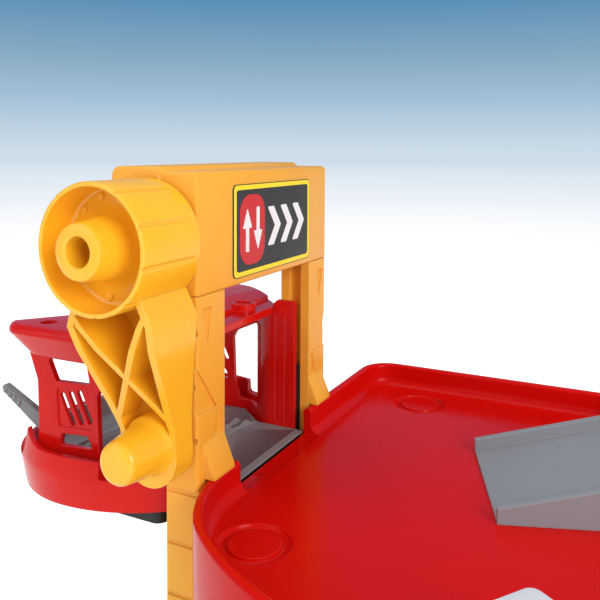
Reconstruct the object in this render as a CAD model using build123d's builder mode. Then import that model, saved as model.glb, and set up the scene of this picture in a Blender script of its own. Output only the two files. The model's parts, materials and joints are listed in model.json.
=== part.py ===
from build123d import *
import math
import os

# Toy parking garage with a hand-cranked car lift, for cars of 1:43 scale.
# Millimetres. +Z is up and Z = 0 is the ground. X = Y = 0 is the middle of the lift tower.
# The lift cabin hangs on the -X side, the parking deck lies on the +X side, and the
# crank is on the -Y end of the tower. The lift is drawn at its top stop.

# ---------------------------------------------------------------- driving dimensions
wall = 2.2              # general wall of the mouldings
clear = 0.3             # gap beside what slides or swings
fit = 0.05              # radial clearance of a shaft in its hole

deck_z = 107.0          # running surface of the deck above the ground
base_h = 4.0            # height of the base plate
base_skin = 1.8         # thickness of its top skin

# tower
post_w = 12.5           # post size along X
post_d = 15.5           # post size along Y
doorway = 63.0          # clear width between the two posts
groove_w = 4.8          # guide groove in the inner face of each post
groove_d = 3.4
head_gap = 68.0         # from the deck up to the underside of the tower head
head_h = 36.5           # height of the tower head over the posts
head_step = 1.4         # extra height of its rear half
head_back = 27.0        # how far the head reaches behind the tower's middle
head_ledge = 7.0        # where the step lies behind the middle
course = 16.0           # pitch of the block-course grooves on the posts
course_w = 1.3
course_d = 0.7
course_top = 14.5       # the first groove, below the head
gusset_h = 14.0         # buttress of a post on the deck's rim
gusset_x = 6.0

# crank
crank_x = -10.5         # crank axis behind the tower's middle
crank_up = 85.0         # crank axis above the deck
crank_tilt = 5.6        # lean of the hanging arm, degrees
crank_gap = 1.6         # between the head's end and the back of the crank
drum_r = 19.4
drum_depth = 27.0
dish_depth = 11.0
hub_r = 7.7
hub_bore = 4.5
hub_proud = 4.7         # hub in front of the drum's rim
arm_len = 61.3
arm_top_r = 17.5
arm_end_r = 11.7
arm_depth_top = 22.0
arm_depth_end = 11.0
knob_r = 8.8
knob_end_r = 5.6
knob_len = 23.0
axle_r = 3.0
spool_r = 6.0
spool_flange_r = 8.6
spool_w = 9.0
spool_y = 20.0
wind_r = 7.0            # mean radius of the wound hoist cord
bush_r = 5.0
bush_len = 6.0

# lift cabin, heights measured from the deck
lift_travel = 87.0
tray_rim = 10.0
tray_horn = 14.0
tray_nose_rim = 3.6
tray_crease = 4.3
tray_bottom = -7.0
tray_floor = -2.0       # top of the tray's floor
tray_skin = 2.0
tray_nose_x = -90.0
tray_wall = 3.4
tray_lean = 1.8         # how far the tray's sides lean in above and below the crease
side_y_in = 31.1        # outer face of the side walls between the posts
side_y_out = 44.0       # middle of the side walls at the cabin
side_t = 2.0
roof_top = 52.5
roof_low = 47.5         # top of the roof's tower-side strip
roof_bottom = 40.0
roof_skin = 2.2
tip_half = 28.8         # half width of the tipping floor
tip_t = 1.8
tip_back = -78.5
tip_front = 4.0
tip_wall_h = 9.0
tip_pin_x = -2.0
tip_pin_z = -3.0
pin_r = 1.5
carriage_bottom = -14.0
shoe_h = 40.0

# parking deck
deck_gap = 0.15         # between the posts and the deck's edge
deck_far = 103.0
deck_near = -96.0
deck_skirt = 24.0       # skirt below the running surface
rim_h = 10.0
rim_w = 8.0
door_half = 27.0        # half width of the doorway in the rim
corner_r = 14.0
near_corner_r = 45.0
sweep_y = -35.0         # where the big near-left corner starts, from the doorway
sweep_r = 48.0          # its tighter first arc
sweep_turn = 50.0       # and that arc's angle, degrees
ring_r = 9.8
ring_w = 1.6
ring_d = 0.8            # depth of the rings over the columns
column_r = 7.9
column_wall = 2.0
column_spots = [(30.0, -53.0), (38.0, 80.0), (108.0, 78.0), (148.0, -46.0)]

# ramps
ramp_x = 80.9           # middle of the saddle ramp's low edge
ramp_y = 15.4
ramp_turn = 20.0        # direction of the ramps from +X towards +Y, degrees
ramp_w = 55.6
ramp_rise = 13.3        # slope of the saddle ramp, degrees
ramp_skin = 2.0
curb_h = 3.9
curb_w = 2.6
lip = 0.8               # thickness of a ramp's thin end
deck_edge = 68.0        # outer face of the deck's rim, along the ramp
crest = 14.9            # highest point of the saddle ramp
slide_drop = 32.0       # slope of the exit ramp, degrees
entry_len = 44.0

# swing gate on the near rim
gate_x = 91.3
gate_turn = 51.4        # direction of the arm from +X, degrees
gate_len = 30.5
gate_w = 8.8
gate_t = 3.4
gate_pin_r = 1.5

# sign
sign_w = 56.7
sign_h = 31.2
sign_y = 2.6
sign_up = 86.0          # its middle above the deck
sign_t = 0.6
sign_r = 2.0

# ---------------------------------------------------------------- derived places
post_y = (doorway + post_d) / 2
tower_half = doorway / 2 + post_d
post_x = post_w / 2
head_z = deck_z + head_gap
head_top = head_z + head_h
crank_z = deck_z + crank_up
crank_y = -(tower_half + crank_gap)
deck_x = post_x + deck_gap
rim_top = deck_z + rim_h
travel_low = deck_z - lift_travel


def save(piece, name):
    """Label a finished piece and write it."""
    piece.part.label = name
    export_step(piece.part, "parts/" + name + ".step")


# ---------------------------------------------------------------- base plate
bay_pitch = 36.0
spigot_h = 9.0
spigot_play = 0.2
post_core_y = post_d - groove_d - 2 * wall - 0.2
post_core_x = post_w - 2 * wall
post_core_c = tower_half - wall - post_core_y / 2
pad_x = 76.0
pad_y = 42.0
base_x1 = 168.0
base_y0 = -66.0
base_y1 = 93.0

with BuildPart() as base_plate:
    with BuildSketch():
        with Locations(((base_x1 - 10) / 2, (base_y0 + base_y1) / 2)):
            RectangleRounded(base_x1 + 10, base_y1 - base_y0, 12)
        with Locations(((12 - pad_x) / 2, 0)):
            RectangleRounded(pad_x + 12, 2 * pad_y, 12)
    extrude(amount=base_h)
    with BuildSketch():
        with Locations(((base_x1 - 10) / 2, (base_y0 + base_y1) / 2)):
            with GridLocations(43, 38.5, 4, 4):
                Rectangle(40.5, 36)
        with Locations((-43, 0)):
            with GridLocations(1, 39, 1, 2):
                Rectangle(58, 36.5)
    extrude(amount=base_h - base_skin, mode=Mode.SUBTRACT)
    with BuildSketch():
        Rectangle(22, 2 * tower_half)
        with Locations(*column_spots):
            Circle(column_r + 3)
    extrude(amount=base_h)
    with BuildSketch(Plane.XY.offset(base_h)):
        with Locations((0, post_core_c), (0, -post_core_c)):
            Rectangle(post_core_x - 2 * spigot_play, post_core_y - 2 * spigot_play)
    extrude(amount=spigot_h)
    with BuildSketch(Plane.XY.offset(base_h)):
        with Locations(*column_spots):
            Circle(column_r - column_wall - spigot_play)
    extrude(amount=spigot_h)
    with BuildSketch(Plane.XY.offset(base_h)):
        with Locations((92, -38)):
            with GridLocations(bay_pitch, 10, 3, 1):
                Rectangle(1.6, 40)
    extrude(amount=0.6)
save(base_plate, "base_plate")

# ---------------------------------------------------------------- tower posts
post_play = 0.15
post_round = 1.2


def tower_post(side):
    """A hollow post; side is -1 for the near one and +1 for the far one."""
    inner = side * doorway / 2
    outer = side * tower_half
    with BuildPart() as post:
        with BuildSketch(Plane.XY.offset(base_h)):
            with Locations((0, side * post_y)):
                Rectangle(post_w, post_d)
        extrude(amount=head_z - base_h)
        fillet(post.edges().filter_by(Axis.Z).group_by(Axis.Y)[0 if side < 0 else -1], post_round)
        # spigot that plugs into the tower head
        with BuildSketch(Plane.XY.offset(head_z)):
            with Locations((post_x - wall - post_play - 4, side * post_core_c)):
                Rectangle(8, post_core_y)
        extrude(amount=spigot_h)
        # guide groove for the lift's shoe
        with BuildSketch(Plane.XY.offset(base_h)):
            with Locations((0, inner + side * groove_d / 2)):
                Rectangle(groove_w, groove_d)
        extrude(amount=head_z - base_h, mode=Mode.SUBTRACT)
        # hollow core, open at the foot
        with BuildSketch(Plane.XY.offset(base_h)):
            with Locations((0, side * post_core_c)):
                Rectangle(post_core_x, post_core_y)
        extrude(amount=head_z - base_h - 2 * wall, mode=Mode.SUBTRACT)
        # block courses on the outer face and the two corners beside it
        count = int((head_z - base_h - 8) // course)
        with BuildSketch(Plane.XZ.offset(-outer)):
            with Locations((0, head_z - course_top - (count - 1) * course / 2)):
                with GridLocations(1, course, 1, count):
                    Rectangle(post_w + 2, course_w)
        extrude(amount=side * course_d, mode=Mode.SUBTRACT)
        # tapering channel in the face towards the deck
        with BuildSketch(Plane.YZ.offset(post_x)):
            with BuildLine():
                Polyline(
                    (side * (post_y - 4.6), head_z - 6),
                    (side * (post_y + 4.6), head_z - 6),
                    (side * (post_y + 2.2), deck_z + 30),
                    (side * (post_y - 2.2), deck_z + 30),
                    close=True,
                )
            make_face()
        extrude(amount=-1.2, mode=Mode.SUBTRACT)
        # buttress that stands on the deck's rim
        with BuildSketch(Plane.XZ.offset(-side * (post_y - 1.5))):
            with BuildLine():
                Polyline(
                    (post_x, rim_top),
                    (post_x + gusset_x, rim_top),
                    (post_x + gusset_x - 1.2, rim_top + 4),
                    (post_x, rim_top + gusset_h),
                    close=True,
                )
            make_face()
        extrude(amount=(post_d + 3) / 2, both=True)
    return post


near_post = tower_post(-1)
save(near_post, "near_post")
far_post = tower_post(1)
save(far_post, "far_post")

# ---------------------------------------------------------------- tower head
head_mid = (post_x - head_back) / 2
boss_r = bush_r + 2.2
cover_t = 2.0
screw_x = 7.0
screw_y = 27.6
cover_screws = [(head_mid - screw_x, screw_y), (head_mid + screw_x, screw_y)]
cover_screws = cover_screws + [(x, -y) for x, y in cover_screws]

with BuildPart() as tower_head:
    with BuildSketch(Plane.XZ):
        with BuildLine():
            Polyline(
                (post_x, head_z),
                (post_x, head_top),
                (-head_ledge, head_top),
                (-head_ledge - 1, head_top + head_step),
                (-head_back, head_top + head_step),
                (-head_back, head_z),
                close=True,
            )
        make_face()
    extrude(amount=tower_half, both=True)
    fillet(tower_head.edges().filter_by(Axis.Y).group_by(Axis.X)[0].sort_by(Axis.Z)[-1], 3)
    fillet(tower_head.edges().filter_by(Axis.Z).group_by(Axis.X)[0], 2)
    with BuildSketch(Plane.XY.offset(head_z)):
        with Locations((head_mid, 0)):
            Rectangle(post_x + head_back - 2 * wall, 2 * (tower_half - wall))
    extrude(amount=head_h - wall, mode=Mode.SUBTRACT)
    # bosses inside the two ends that hold the axle's bushes
    for side in (-1, 1):
        with BuildSketch(Plane.XZ.offset(-side * (tower_half - wall))):
            with Locations((crank_x, crank_z)):
                Circle(boss_r)
        extrude(amount=side * (bush_len - wall))
    # pillars for the cover's screws
    with BuildSketch(Plane.XY.offset(head_z + cover_t)):
        with Locations(*cover_screws):
            Circle(2.6)
    extrude(amount=head_h - cover_t - 1)
    with BuildSketch(Plane.XZ):
        with Locations((crank_x, crank_z)):
            Circle(bush_r + fit)
    extrude(amount=tower_half + 1, both=True, mode=Mode.SUBTRACT)
    with Locations(*[(x, y, head_z + cover_t) for x, y in cover_screws]):
        Cylinder(1.1, 9, align=(Align.CENTER, Align.CENTER, Align.MIN), mode=Mode.SUBTRACT)
    # two moulding marks on the near end
    with BuildSketch(Plane.XZ.offset(tower_half)):
        with Locations((-22, head_top - 4), (-12, head_top - 4)):
            Rectangle(0.9, 6)
    extrude(amount=-0.7, mode=Mode.SUBTRACT)
save(tower_head, "tower_head")

# cover that closes the head from below, with a slot for each hoist cord
cover_play = 0.2
cord_slot_x = crank_x - wind_r
with BuildPart() as head_cover:
    with BuildSketch(Plane.XY.offset(head_z)):
        with Locations((head_mid, 0)):
            Rectangle(post_x + head_back - 2 * wall - 2 * cover_play, doorway - 2)
        with Locations((cord_slot_x, spool_y), (cord_slot_x, -spool_y)):
            SlotOverall(9, 4, rotation=90, mode=Mode.SUBTRACT)
        with Locations(*cover_screws):
            Circle(1.5, mode=Mode.SUBTRACT)
    extrude(amount=cover_t)
    with BuildSketch(Plane.XY.offset(head_z + cover_t)):
        with Locations((head_mid, 12), (head_mid, -12)):
            Rectangle(post_x + head_back - 2 * wall - 4, 1.4)
    extrude(amount=3)
save(head_cover, "head_cover")

with BuildPart() as cover_screw_set:
    with Locations(*[(x, y, head_z) for x, y in cover_screws]):
        Cylinder(2.5, 1.2, align=(Align.CENTER, Align.CENTER, Align.MAX))
        Cylinder(1.05, 9, align=(Align.CENTER, Align.CENTER, Align.MIN))
save(cover_screw_set, "cover_screws")


def axle_bush(side):
    """Flanged plastic bush in one end of the head."""
    with BuildPart() as bush:
        with BuildSketch(Plane.XZ.offset(-side * tower_half)):
            with Locations((crank_x, crank_z)):
                Circle(bush_r)
        extrude(amount=side * bush_len)
        with BuildSketch(Plane.XZ.offset(-side * (tower_half - bush_len))):
            with Locations((crank_x, crank_z)):
                Circle(bush_r + 2)
        extrude(amount=side * 1.2)
        with BuildSketch(Plane.XZ):
            with Locations((crank_x, crank_z)):
                Circle(axle_r + fit)
        extrude(amount=tower_half + 1, both=True, mode=Mode.SUBTRACT)
    return bush


near_bush = axle_bush(-1)
save(near_bush, "near_bush")
far_bush = axle_bush(1)
save(far_bush, "far_bush")

# ---------------------------------------------------------------- crank
tilt = math.radians(crank_tilt)
crank_plane = Plane(
    origin=(crank_x, crank_y, crank_z),
    x_dir=(math.cos(tilt), 0, math.sin(tilt)),
    z_dir=(0, -1, 0),
)
crank_side = Plane(
    origin=(crank_x, crank_y, crank_z),
    x_dir=(0, -1, 0),
    z_dir=(-math.cos(tilt), 0, -math.sin(tilt)),
)
dish_floor = drum_depth - dish_depth
hub_front = drum_depth + hub_proud
grip_count = 10
axle_front = 14.0       # how far the axle reaches into the crank

with BuildPart() as crank:
    # hanging arm: a tapered tray
    with BuildSketch(crank_plane):
        Circle(arm_top_r)
        with Locations((0, -arm_len)):
            Circle(arm_end_r)
        make_hull()
    extrude(amount=arm_depth_top)
    with BuildSketch(crank_side):
        with BuildLine():
            Polyline(
                (0, -arm_len - arm_end_r),
                (arm_depth_end, -arm_len - arm_end_r),
                (arm_depth_end, -arm_len),
                (arm_depth_top, -drum_r),
                (arm_depth_top, drum_r),
                (0, drum_r),
                close=True,
            )
        make_face()
    extrude(amount=arm_top_r, both=True, mode=Mode.INTERSECT)
    with BuildSketch(crank_plane.offset(wall)):
        Circle(arm_top_r - wall)
        with Locations((0, -arm_len)):
            Circle(arm_end_r - wall)
        make_hull()
    extrude(amount=arm_depth_top, mode=Mode.SUBTRACT)
    # crossed ribs in the tray
    with BuildSketch(crank_plane.offset(wall)):
        with Locations((0, -arm_len * 0.47)):
            Rectangle(1.8, 46, rotation=35)
            Rectangle(1.8, 46, rotation=-35)
        with BuildLine():
            Polyline(
                (-12.6, -drum_r + 6),
                (12.6, -drum_r + 6),
                (9, -arm_len + 4),
                (-9, -arm_len + 4),
                close=True,
            )
        make_face(mode=Mode.INTERSECT)
    extrude(amount=arm_depth_end - wall - 1)
    # drum, solid first
    with BuildSketch(crank_plane):
        Circle(drum_r)
    extrude(amount=drum_depth)
    # knob
    with BuildSketch(crank_plane):
        with Locations((0, -arm_len)):
            Circle(knob_r)
    extrude(amount=knob_len, taper=math.degrees(math.atan2(knob_r - knob_end_r, knob_len)))
    fillet(crank.faces().sort_by(Axis.Y)[:2].sort_by(Axis.Z)[0].edges(), 2.4)
    # dish in the drum, with the hub left standing
    with BuildSketch(crank_plane.offset(dish_floor)):
        Circle(drum_r - wall)
    extrude(amount=drum_depth, mode=Mode.SUBTRACT)
    with BuildSketch(crank_plane.offset(dish_floor)):
        Circle(hub_r + 3)
    extrude(amount=3, taper=45)
    with BuildSketch(crank_plane.offset(dish_floor)):
        Circle(hub_r)
    extrude(amount=hub_front - dish_floor)
    fillet(crank.faces().sort_by(Axis.Y)[0].edges(), 1.2)
    # ejector bumps on the dish's floor
    with BuildSketch(crank_plane.offset(dish_floor)):
        with PolarLocations(13.8, 4, start_angle=45):
            Circle(1.6)
    extrude(amount=1)
    # hollow back of the drum
    with BuildSketch(crank_plane):
        Circle(drum_r - wall)
        Circle(hub_r, mode=Mode.SUBTRACT)
        Rectangle(2 * drum_r, 1.8, mode=Mode.SUBTRACT)
        Rectangle(1.8, 2 * drum_r, mode=Mode.SUBTRACT)
    extrude(amount=dish_floor - wall, mode=Mode.SUBTRACT)
    # bore for the axle, then the wider well for its screw
    with BuildSketch(crank_plane):
        Circle(axle_r)
    extrude(amount=hub_front, mode=Mode.SUBTRACT)
    with BuildSketch(crank_plane.offset(axle_front)):
        Circle(hub_bore)
    extrude(amount=hub_front, mode=Mode.SUBTRACT)
    # finger grooves along the drum
    with BuildSketch(crank_plane.offset(dish_floor - 4)):
        with PolarLocations(drum_r + 0.4, grip_count, start_angle=18):
            Circle(1.3)
    extrude(amount=drum_depth, mode=Mode.SUBTRACT)
save(crank, "crank")

axle_far = tower_half - 0.4
with BuildPart() as crank_axle:
    with BuildSketch(Plane.XZ.offset(-axle_far)):
        with Locations((crank_x, crank_z)):
            Circle(axle_r)
    extrude(amount=axle_far - crank_y + axle_front)
    with BuildSketch(Plane.XZ.offset(-crank_y + axle_front)):
        with Locations((crank_x, crank_z)):
            Circle(1.1)
    extrude(amount=-9, mode=Mode.SUBTRACT)
save(crank_axle, "crank_axle")

with BuildPart() as crank_screw:
    with BuildSketch(Plane.XZ.offset(-crank_y + axle_front)):
        with Locations((crank_x, crank_z)):
            Circle(hub_bore - 0.4)
    extrude(amount=2.2)
    fillet(crank_screw.faces().sort_by(Axis.Y)[0].edges(), 0.9)
    with BuildSketch(Plane.XZ.offset(-crank_y + axle_front)):
        with Locations((crank_x, crank_z)):
            Circle(1.05)
    extrude(amount=-8.5)
save(crank_screw, "crank_screw")


def cord_spool(middle):
    """Flanged spool, fixed on the axle."""
    with BuildPart() as spool:
        with BuildSketch(Plane.XZ.offset(-middle)):
            with Locations((crank_x, crank_z)):
                Circle(spool_r)
        extrude(amount=spool_w / 2, both=True)
        for end in (-1, 1):
            with BuildSketch(Plane.XZ.offset(-middle + end * spool_w / 2)):
                with Locations((crank_x, crank_z)):
                    Circle(spool_flange_r)
            extrude(amount=-end * 1.4)
        with BuildSketch(Plane.XZ.offset(-middle - spool_w)):
            with Locations((crank_x, crank_z)):
                Circle(axle_r)
        extrude(amount=2 * spool_w, mode=Mode.SUBTRACT)
        # hole that ties the cord's end
        with BuildSketch(Plane.XY.offset(crank_z)):
            with Locations((crank_x - spool_r + 1.2, middle)):
                Circle(0.7)
        extrude(amount=spool_r, both=True, mode=Mode.SUBTRACT)
    return spool


near_spool = cord_spool(-spool_y)
save(near_spool, "near_spool")
far_spool = cord_spool(spool_y)
save(far_spool, "far_spool")

# ---------------------------------------------------------------- sign
with BuildPart() as sign_plate:
    with BuildSketch(Plane.YZ.offset(post_x)):
        with Locations((sign_y, deck_z + sign_up)):
            RectangleRounded(sign_w, sign_h, sign_r)
    extrude(amount=sign_t)
save(sign_plate, "sign_plate")

# ---------------------------------------------------------------- parking deck
turn = math.radians(ramp_turn)
along = (math.cos(turn), math.sin(turn))
edge_pt = (ramp_x + deck_edge * along[0], ramp_y + deck_edge * along[1])
far_right = edge_pt[0] - math.tan(turn) * (deck_far - edge_pt[1])
near_right = edge_pt[0] - math.tan(turn) * (deck_near - edge_pt[1])
turned = math.radians(sweep_turn)
sweep_mid = (
    deck_x + sweep_r * (1 - math.cos(turned)),
    sweep_y - sweep_r * math.sin(turned),
)
sweep_long = (sweep_mid[1] - deck_near) / (1 - math.sin(turned))
sweep_x = sweep_mid[0] + sweep_long * math.cos(turned)

with BuildSketch() as deck_plan:
    with BuildLine():
        Line((deck_x, sweep_y), (deck_x, deck_far))
        Line((deck_x, deck_far), (far_right, deck_far))
        Line((far_right, deck_far), (near_right, deck_near))
        Line((near_right, deck_near), (sweep_x, deck_near))
        JernArc((deck_x, sweep_y), (0, -1), sweep_r, sweep_turn)
        JernArc(sweep_mid, (math.sin(turned), -math.cos(turned)), sweep_long, 90 - sweep_turn)
    make_face()
    fillet(deck_plan.vertices().group_by(Axis.Y)[-1], corner_r)
    fillet(deck_plan.vertices().group_by(Axis.X)[-1], near_corner_r)

rib_t = 1.6
with BuildPart() as deck:
    add(deck_plan.sketch.moved(Location((0, 0, deck_z - deck_skirt))))
    extrude(amount=deck_skirt + rim_h)
    fillet(deck.faces().sort_by(Axis.Z)[-1].outer_wire().edges(), 3)
    # tray above the floor
    with BuildSketch(Plane.XY.offset(deck_z)):
        add(deck_plan.sketch)
        offset(amount=-rim_w, mode=Mode.REPLACE)
    extrude(amount=rim_h, mode=Mode.SUBTRACT)
    # hollow below the floor
    with BuildSketch(Plane.XY.offset(deck_z - deck_skirt)):
        add(deck_plan.sketch)
        offset(amount=-wall, mode=Mode.REPLACE)
    extrude(amount=deck_skirt - wall, mode=Mode.SUBTRACT)
    # hollow rim, closed beside the doorway
    with BuildSketch(Plane.XY.offset(deck_z - wall)):
        add(deck_plan.sketch)
        offset(amount=-wall, mode=Mode.REPLACE)
        with BuildSketch(mode=Mode.PRIVATE) as core:
            add(deck_plan.sketch)
            offset(amount=wall - rim_w, mode=Mode.REPLACE)
        add(core.sketch, mode=Mode.SUBTRACT)
        with Locations((deck_x, 0)):
            Rectangle(4 * rim_w, 2 * (door_half + wall), mode=Mode.SUBTRACT)
    extrude(amount=rim_h, mode=Mode.SUBTRACT)
    # doorway towards the lift
    with BuildSketch(Plane.XY.offset(deck_z)):
        with Locations((deck_x, 0)):
            Rectangle(3 * rim_w, 2 * door_half)
    extrude(amount=rim_h + 1, mode=Mode.SUBTRACT)
    # shallow sill with a jog
    with BuildSketch(Plane.XY.offset(deck_z)):
        with Locations((deck_x, -20)):
            Rectangle(8.8, 14)
        with Locations((deck_x, 7)):
            Rectangle(13.8, 2 * door_half - 14)
    extrude(amount=-0.5, mode=Mode.SUBTRACT)
    # rings over the columns, and the sockets below them
    with BuildSketch(Plane.XY.offset(deck_z)):
        with Locations(*column_spots):
            Circle(ring_r)
            Circle(ring_r - ring_w, mode=Mode.SUBTRACT)
    extrude(amount=-ring_d, mode=Mode.SUBTRACT)
    with BuildSketch(Plane.XY.offset(deck_z - wall)):
        with Locations(*column_spots):
            Circle(column_r + fit + wall)
    extrude(amount=-12)
    # ribs under the floor
    with BuildSketch(Plane.XY.offset(deck_z - wall)):
        with Locations((70, 5)):
            with GridLocations(40, 1, 3, 1):
                Rectangle(rib_t, 168)
            with GridLocations(1, 44, 1, 3):
                Rectangle(160, rib_t)
        with BuildSketch(mode=Mode.PRIVATE) as inside:
            add(deck_plan.sketch)
            offset(amount=-wall / 2, mode=Mode.REPLACE)
        add(inside.sketch, mode=Mode.INTERSECT)
    extrude(amount=-7)
    with BuildSketch(Plane.XY.offset(deck_z - wall)):
        with Locations(*column_spots):
            Circle(column_r + fit)
    extrude(amount=-13, mode=Mode.SUBTRACT)
    # hole for the gate's pin
    with BuildSketch(Plane.XY.offset(deck_z)):
        with Locations((gate_x, deck_near + rim_w / 2)):
            Circle(gate_pin_r + fit)
    extrude(amount=rim_h + 1, mode=Mode.SUBTRACT)
save(deck, "deck")

for number, spot in enumerate(column_spots, start=1):
    with BuildPart() as column:
        with BuildSketch(Plane.XY.offset(base_h)):
            with Locations(spot):
                Circle(column_r)
                Circle(column_r - column_wall, mode=Mode.SUBTRACT)
        extrude(amount=deck_z - wall - base_h)
        with BuildSketch(Plane.XY.offset(base_h)):
            with Locations(spot):
                Circle(column_r + 2)
                Circle(column_r - column_wall, mode=Mode.SUBTRACT)
        extrude(amount=3)
    save(column, "column_" + str(number))

# ---------------------------------------------------------------- ramps
ramp_side = Plane(
    origin=(ramp_x, ramp_y, deck_z),
    x_dir=(along[0], along[1], 0),
    z_dir=(along[1], -along[0], 0),
)
rise = math.tan(math.radians(ramp_rise))
drop = math.tan(math.radians(slide_drop))
crest_x = 64.0
climb_end = 54.0
climb_top = lip + climb_end * rise
fall_x = 2 * crest_x - climb_end
saddle_end = 86.0
saddle_low = climb_top - (saddle_end - fall_x) * drop
rim_in = deck_edge - rim_w


def saddle_line(lift, start, end):
    """The saddle's running line, raised by lift, from start to end along the ramp."""
    first = (start, lip + start * rise + lift)
    Line(first, (climb_end, climb_top + lift))
    ThreePointArc((climb_end, climb_top + lift), (crest_x, crest + lift), (fall_x, climb_top + lift))
    last = (end, climb_top - (end - fall_x) * drop + lift)
    Line((fall_x, climb_top + lift), last)
    return first, last


with BuildPart() as saddle_ramp:
    with BuildSketch(ramp_side):
        with BuildLine():
            first, last = saddle_line(curb_h, 0, saddle_end)
            Polyline(
                last,
                (saddle_end, saddle_low - ramp_skin),
                (deck_edge + wall + clear, -9),
                (deck_edge + clear, -9),
                (deck_edge + clear, rim_h + clear),
                (rim_in - clear, rim_h + clear),
                (rim_in - clear, 0),
                (0, 0),
                first,
            )
        make_face()
    extrude(amount=ramp_w / 2, both=True)
    # roadway between the curbs
    with BuildSketch(ramp_side):
        with BuildLine():
            first, last = saddle_line(0, 0, saddle_end)
            Polyline(last, (saddle_end, 40), (0, 40), first)
        make_face()
    extrude(amount=ramp_w / 2 - curb_w, both=True, mode=Mode.SUBTRACT)
    # hollow underside
    with BuildSketch(ramp_side):
        with BuildLine():
            first, last = saddle_line(-ramp_skin, 6, saddle_end)
            Polyline(last, (saddle_end, -20), (6, -20), first)
        make_face()
    extrude(amount=ramp_w / 2 - wall, both=True, mode=Mode.SUBTRACT)
save(saddle_ramp, "saddle_ramp")

# the exit ramp hooks under the saddle's end and stands on the ground
slide_start = saddle_end + clear
slide_high = climb_top - (slide_start - fall_x) * drop
slide_end = slide_start + (slide_high + deck_z - lip) / drop
tab_x = 74.5
tab_z = climb_top - (tab_x - fall_x) * drop - ramp_skin


def slide_z(place, lift):
    """Height of the exit ramp's running line, raised by lift, at a place along it."""
    return slide_high - (place - slide_start) * drop + lift


with BuildPart() as exit_ramp:
    with BuildSketch(ramp_side):
        with BuildLine():
            Polyline(
                (slide_start, slide_z(slide_start, curb_h)),
                (slide_end, slide_z(slide_end, curb_h)),
                (slide_end, -deck_z),
                (slide_end - 14, -deck_z),
                (slide_start, slide_z(slide_start, -7)),
                close=True,
            )
        make_face()
    extrude(amount=ramp_w / 2, both=True)
    with BuildSketch(ramp_side):
        with BuildLine():
            Polyline(
                (slide_start - 1, slide_z(slide_start - 1, 0)),
                (slide_end + 1, slide_z(slide_end + 1, 0)),
                (slide_end + 1, 40),
                (slide_start - 1, 40),
                close=True,
            )
        make_face()
    extrude(amount=ramp_w / 2 - curb_w, both=True, mode=Mode.SUBTRACT)
    with BuildSketch(ramp_side):
        with BuildLine():
            Polyline(
                (slide_start - 1, slide_z(slide_start - 1, -ramp_skin)),
                (slide_end - 12, slide_z(slide_end - 12, -ramp_skin)),
                (slide_end - 12, -deck_z - 20),
                (slide_start - 1, -deck_z),
                close=True,
            )
        make_face()
    extrude(amount=ramp_w / 2 - wall, both=True, mode=Mode.SUBTRACT)
    # cross ribs
    for step in range(1, 6):
        place = slide_start + step * (slide_end - slide_start - 14) / 6
        with BuildSketch(ramp_side):
            with BuildLine():
                Polyline(
                    (place, slide_z(place, -1)),
                    (place + rib_t, slide_z(place + rib_t, -1)),
                    (place + rib_t, slide_z(place + rib_t, -6)),
                    (place, slide_z(place, -6)),
                    close=True,
                )
            make_face()
        extrude(amount=ramp_w / 2 - 1, both=True)
    # tab under the saddle's end
    with BuildSketch(ramp_side):
        with BuildLine():
            Polyline(
                (tab_x, tab_z),
                (slide_start + 4, slide_z(slide_start + 4, -ramp_skin)),
                (slide_start + 4, slide_z(slide_start + 4, -2 * ramp_skin)),
                (tab_x, tab_z - ramp_skin),
                close=True,
            )
        make_face()
    extrude(amount=ramp_w / 2 - wall - 3, both=True)
save(exit_ramp, "exit_ramp")

# ramp inside the ground floor, up to the lift's lowest stop
entry_half = doorway / 2 - 2.5
entry_top = travel_low
entry_x = deck_x + 0.4
with BuildPart() as entry_ramp:
    with BuildSketch(Plane.XZ):
        with BuildLine():
            Polyline(
                (entry_x, base_h),
                (entry_x + entry_len, base_h),
                (entry_x + entry_len, base_h + lip),
                (entry_x + 6, entry_top),
                (entry_x, entry_top),
                close=True,
            )
        make_face()
    extrude(amount=entry_half, both=True)
    with BuildSketch(Plane.XZ):
        with BuildLine():
            Polyline(
                (entry_x + wall, base_h),
                (entry_x + entry_len - 8, base_h),
                (entry_x + 6, entry_top - ramp_skin),
                (entry_x + wall, entry_top - ramp_skin),
                close=True,
            )
        make_face()
    extrude(amount=entry_half - wall, both=True, mode=Mode.SUBTRACT)
save(entry_ramp, "entry_ramp")

# ---------------------------------------------------------------- swing gate
gate_y = deck_near + rim_w / 2
gate_play = 0.4
swing = math.radians(gate_turn)
gate_tip = (gate_x + gate_len * math.cos(swing), gate_y + gate_len * math.sin(swing))
with BuildPart() as gate_arm:
    with BuildSketch(Plane.XY.offset(rim_top + gate_play)):
        with Locations((gate_x, gate_y), gate_tip):
            Circle(gate_w / 2)
        make_hull()
    extrude(amount=gate_t)
    fillet(gate_arm.faces().sort_by(Axis.Z)[-1].edges(), 0.8)
    with Locations((gate_x, gate_y, rim_top + gate_play)):
        Cylinder(gate_pin_r + fit, 2 * gate_t, mode=Mode.SUBTRACT)
save(gate_arm, "gate_arm")

pin_head = 1.4
with BuildPart() as gate_pin:
    with Locations((gate_x, gate_y, rim_top + gate_play + gate_t + 0.1)):
        Cylinder(3, pin_head, align=(Align.CENTER, Align.CENTER, Align.MIN))
    fillet(gate_pin.faces().sort_by(Axis.Z)[-1].edges(), 0.6)
    with Locations((gate_x, gate_y, rim_top + gate_play + gate_t + 0.1)):
        Cylinder(gate_pin_r, gate_t + 5, align=(Align.CENTER, Align.CENTER, Align.MAX))
    with Locations((gate_x, gate_y, rim_top - wall)):
        Cylinder(1.75, 1, align=(Align.CENTER, Align.CENTER, Align.MAX))
save(gate_pin, "gate_pin")

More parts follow.
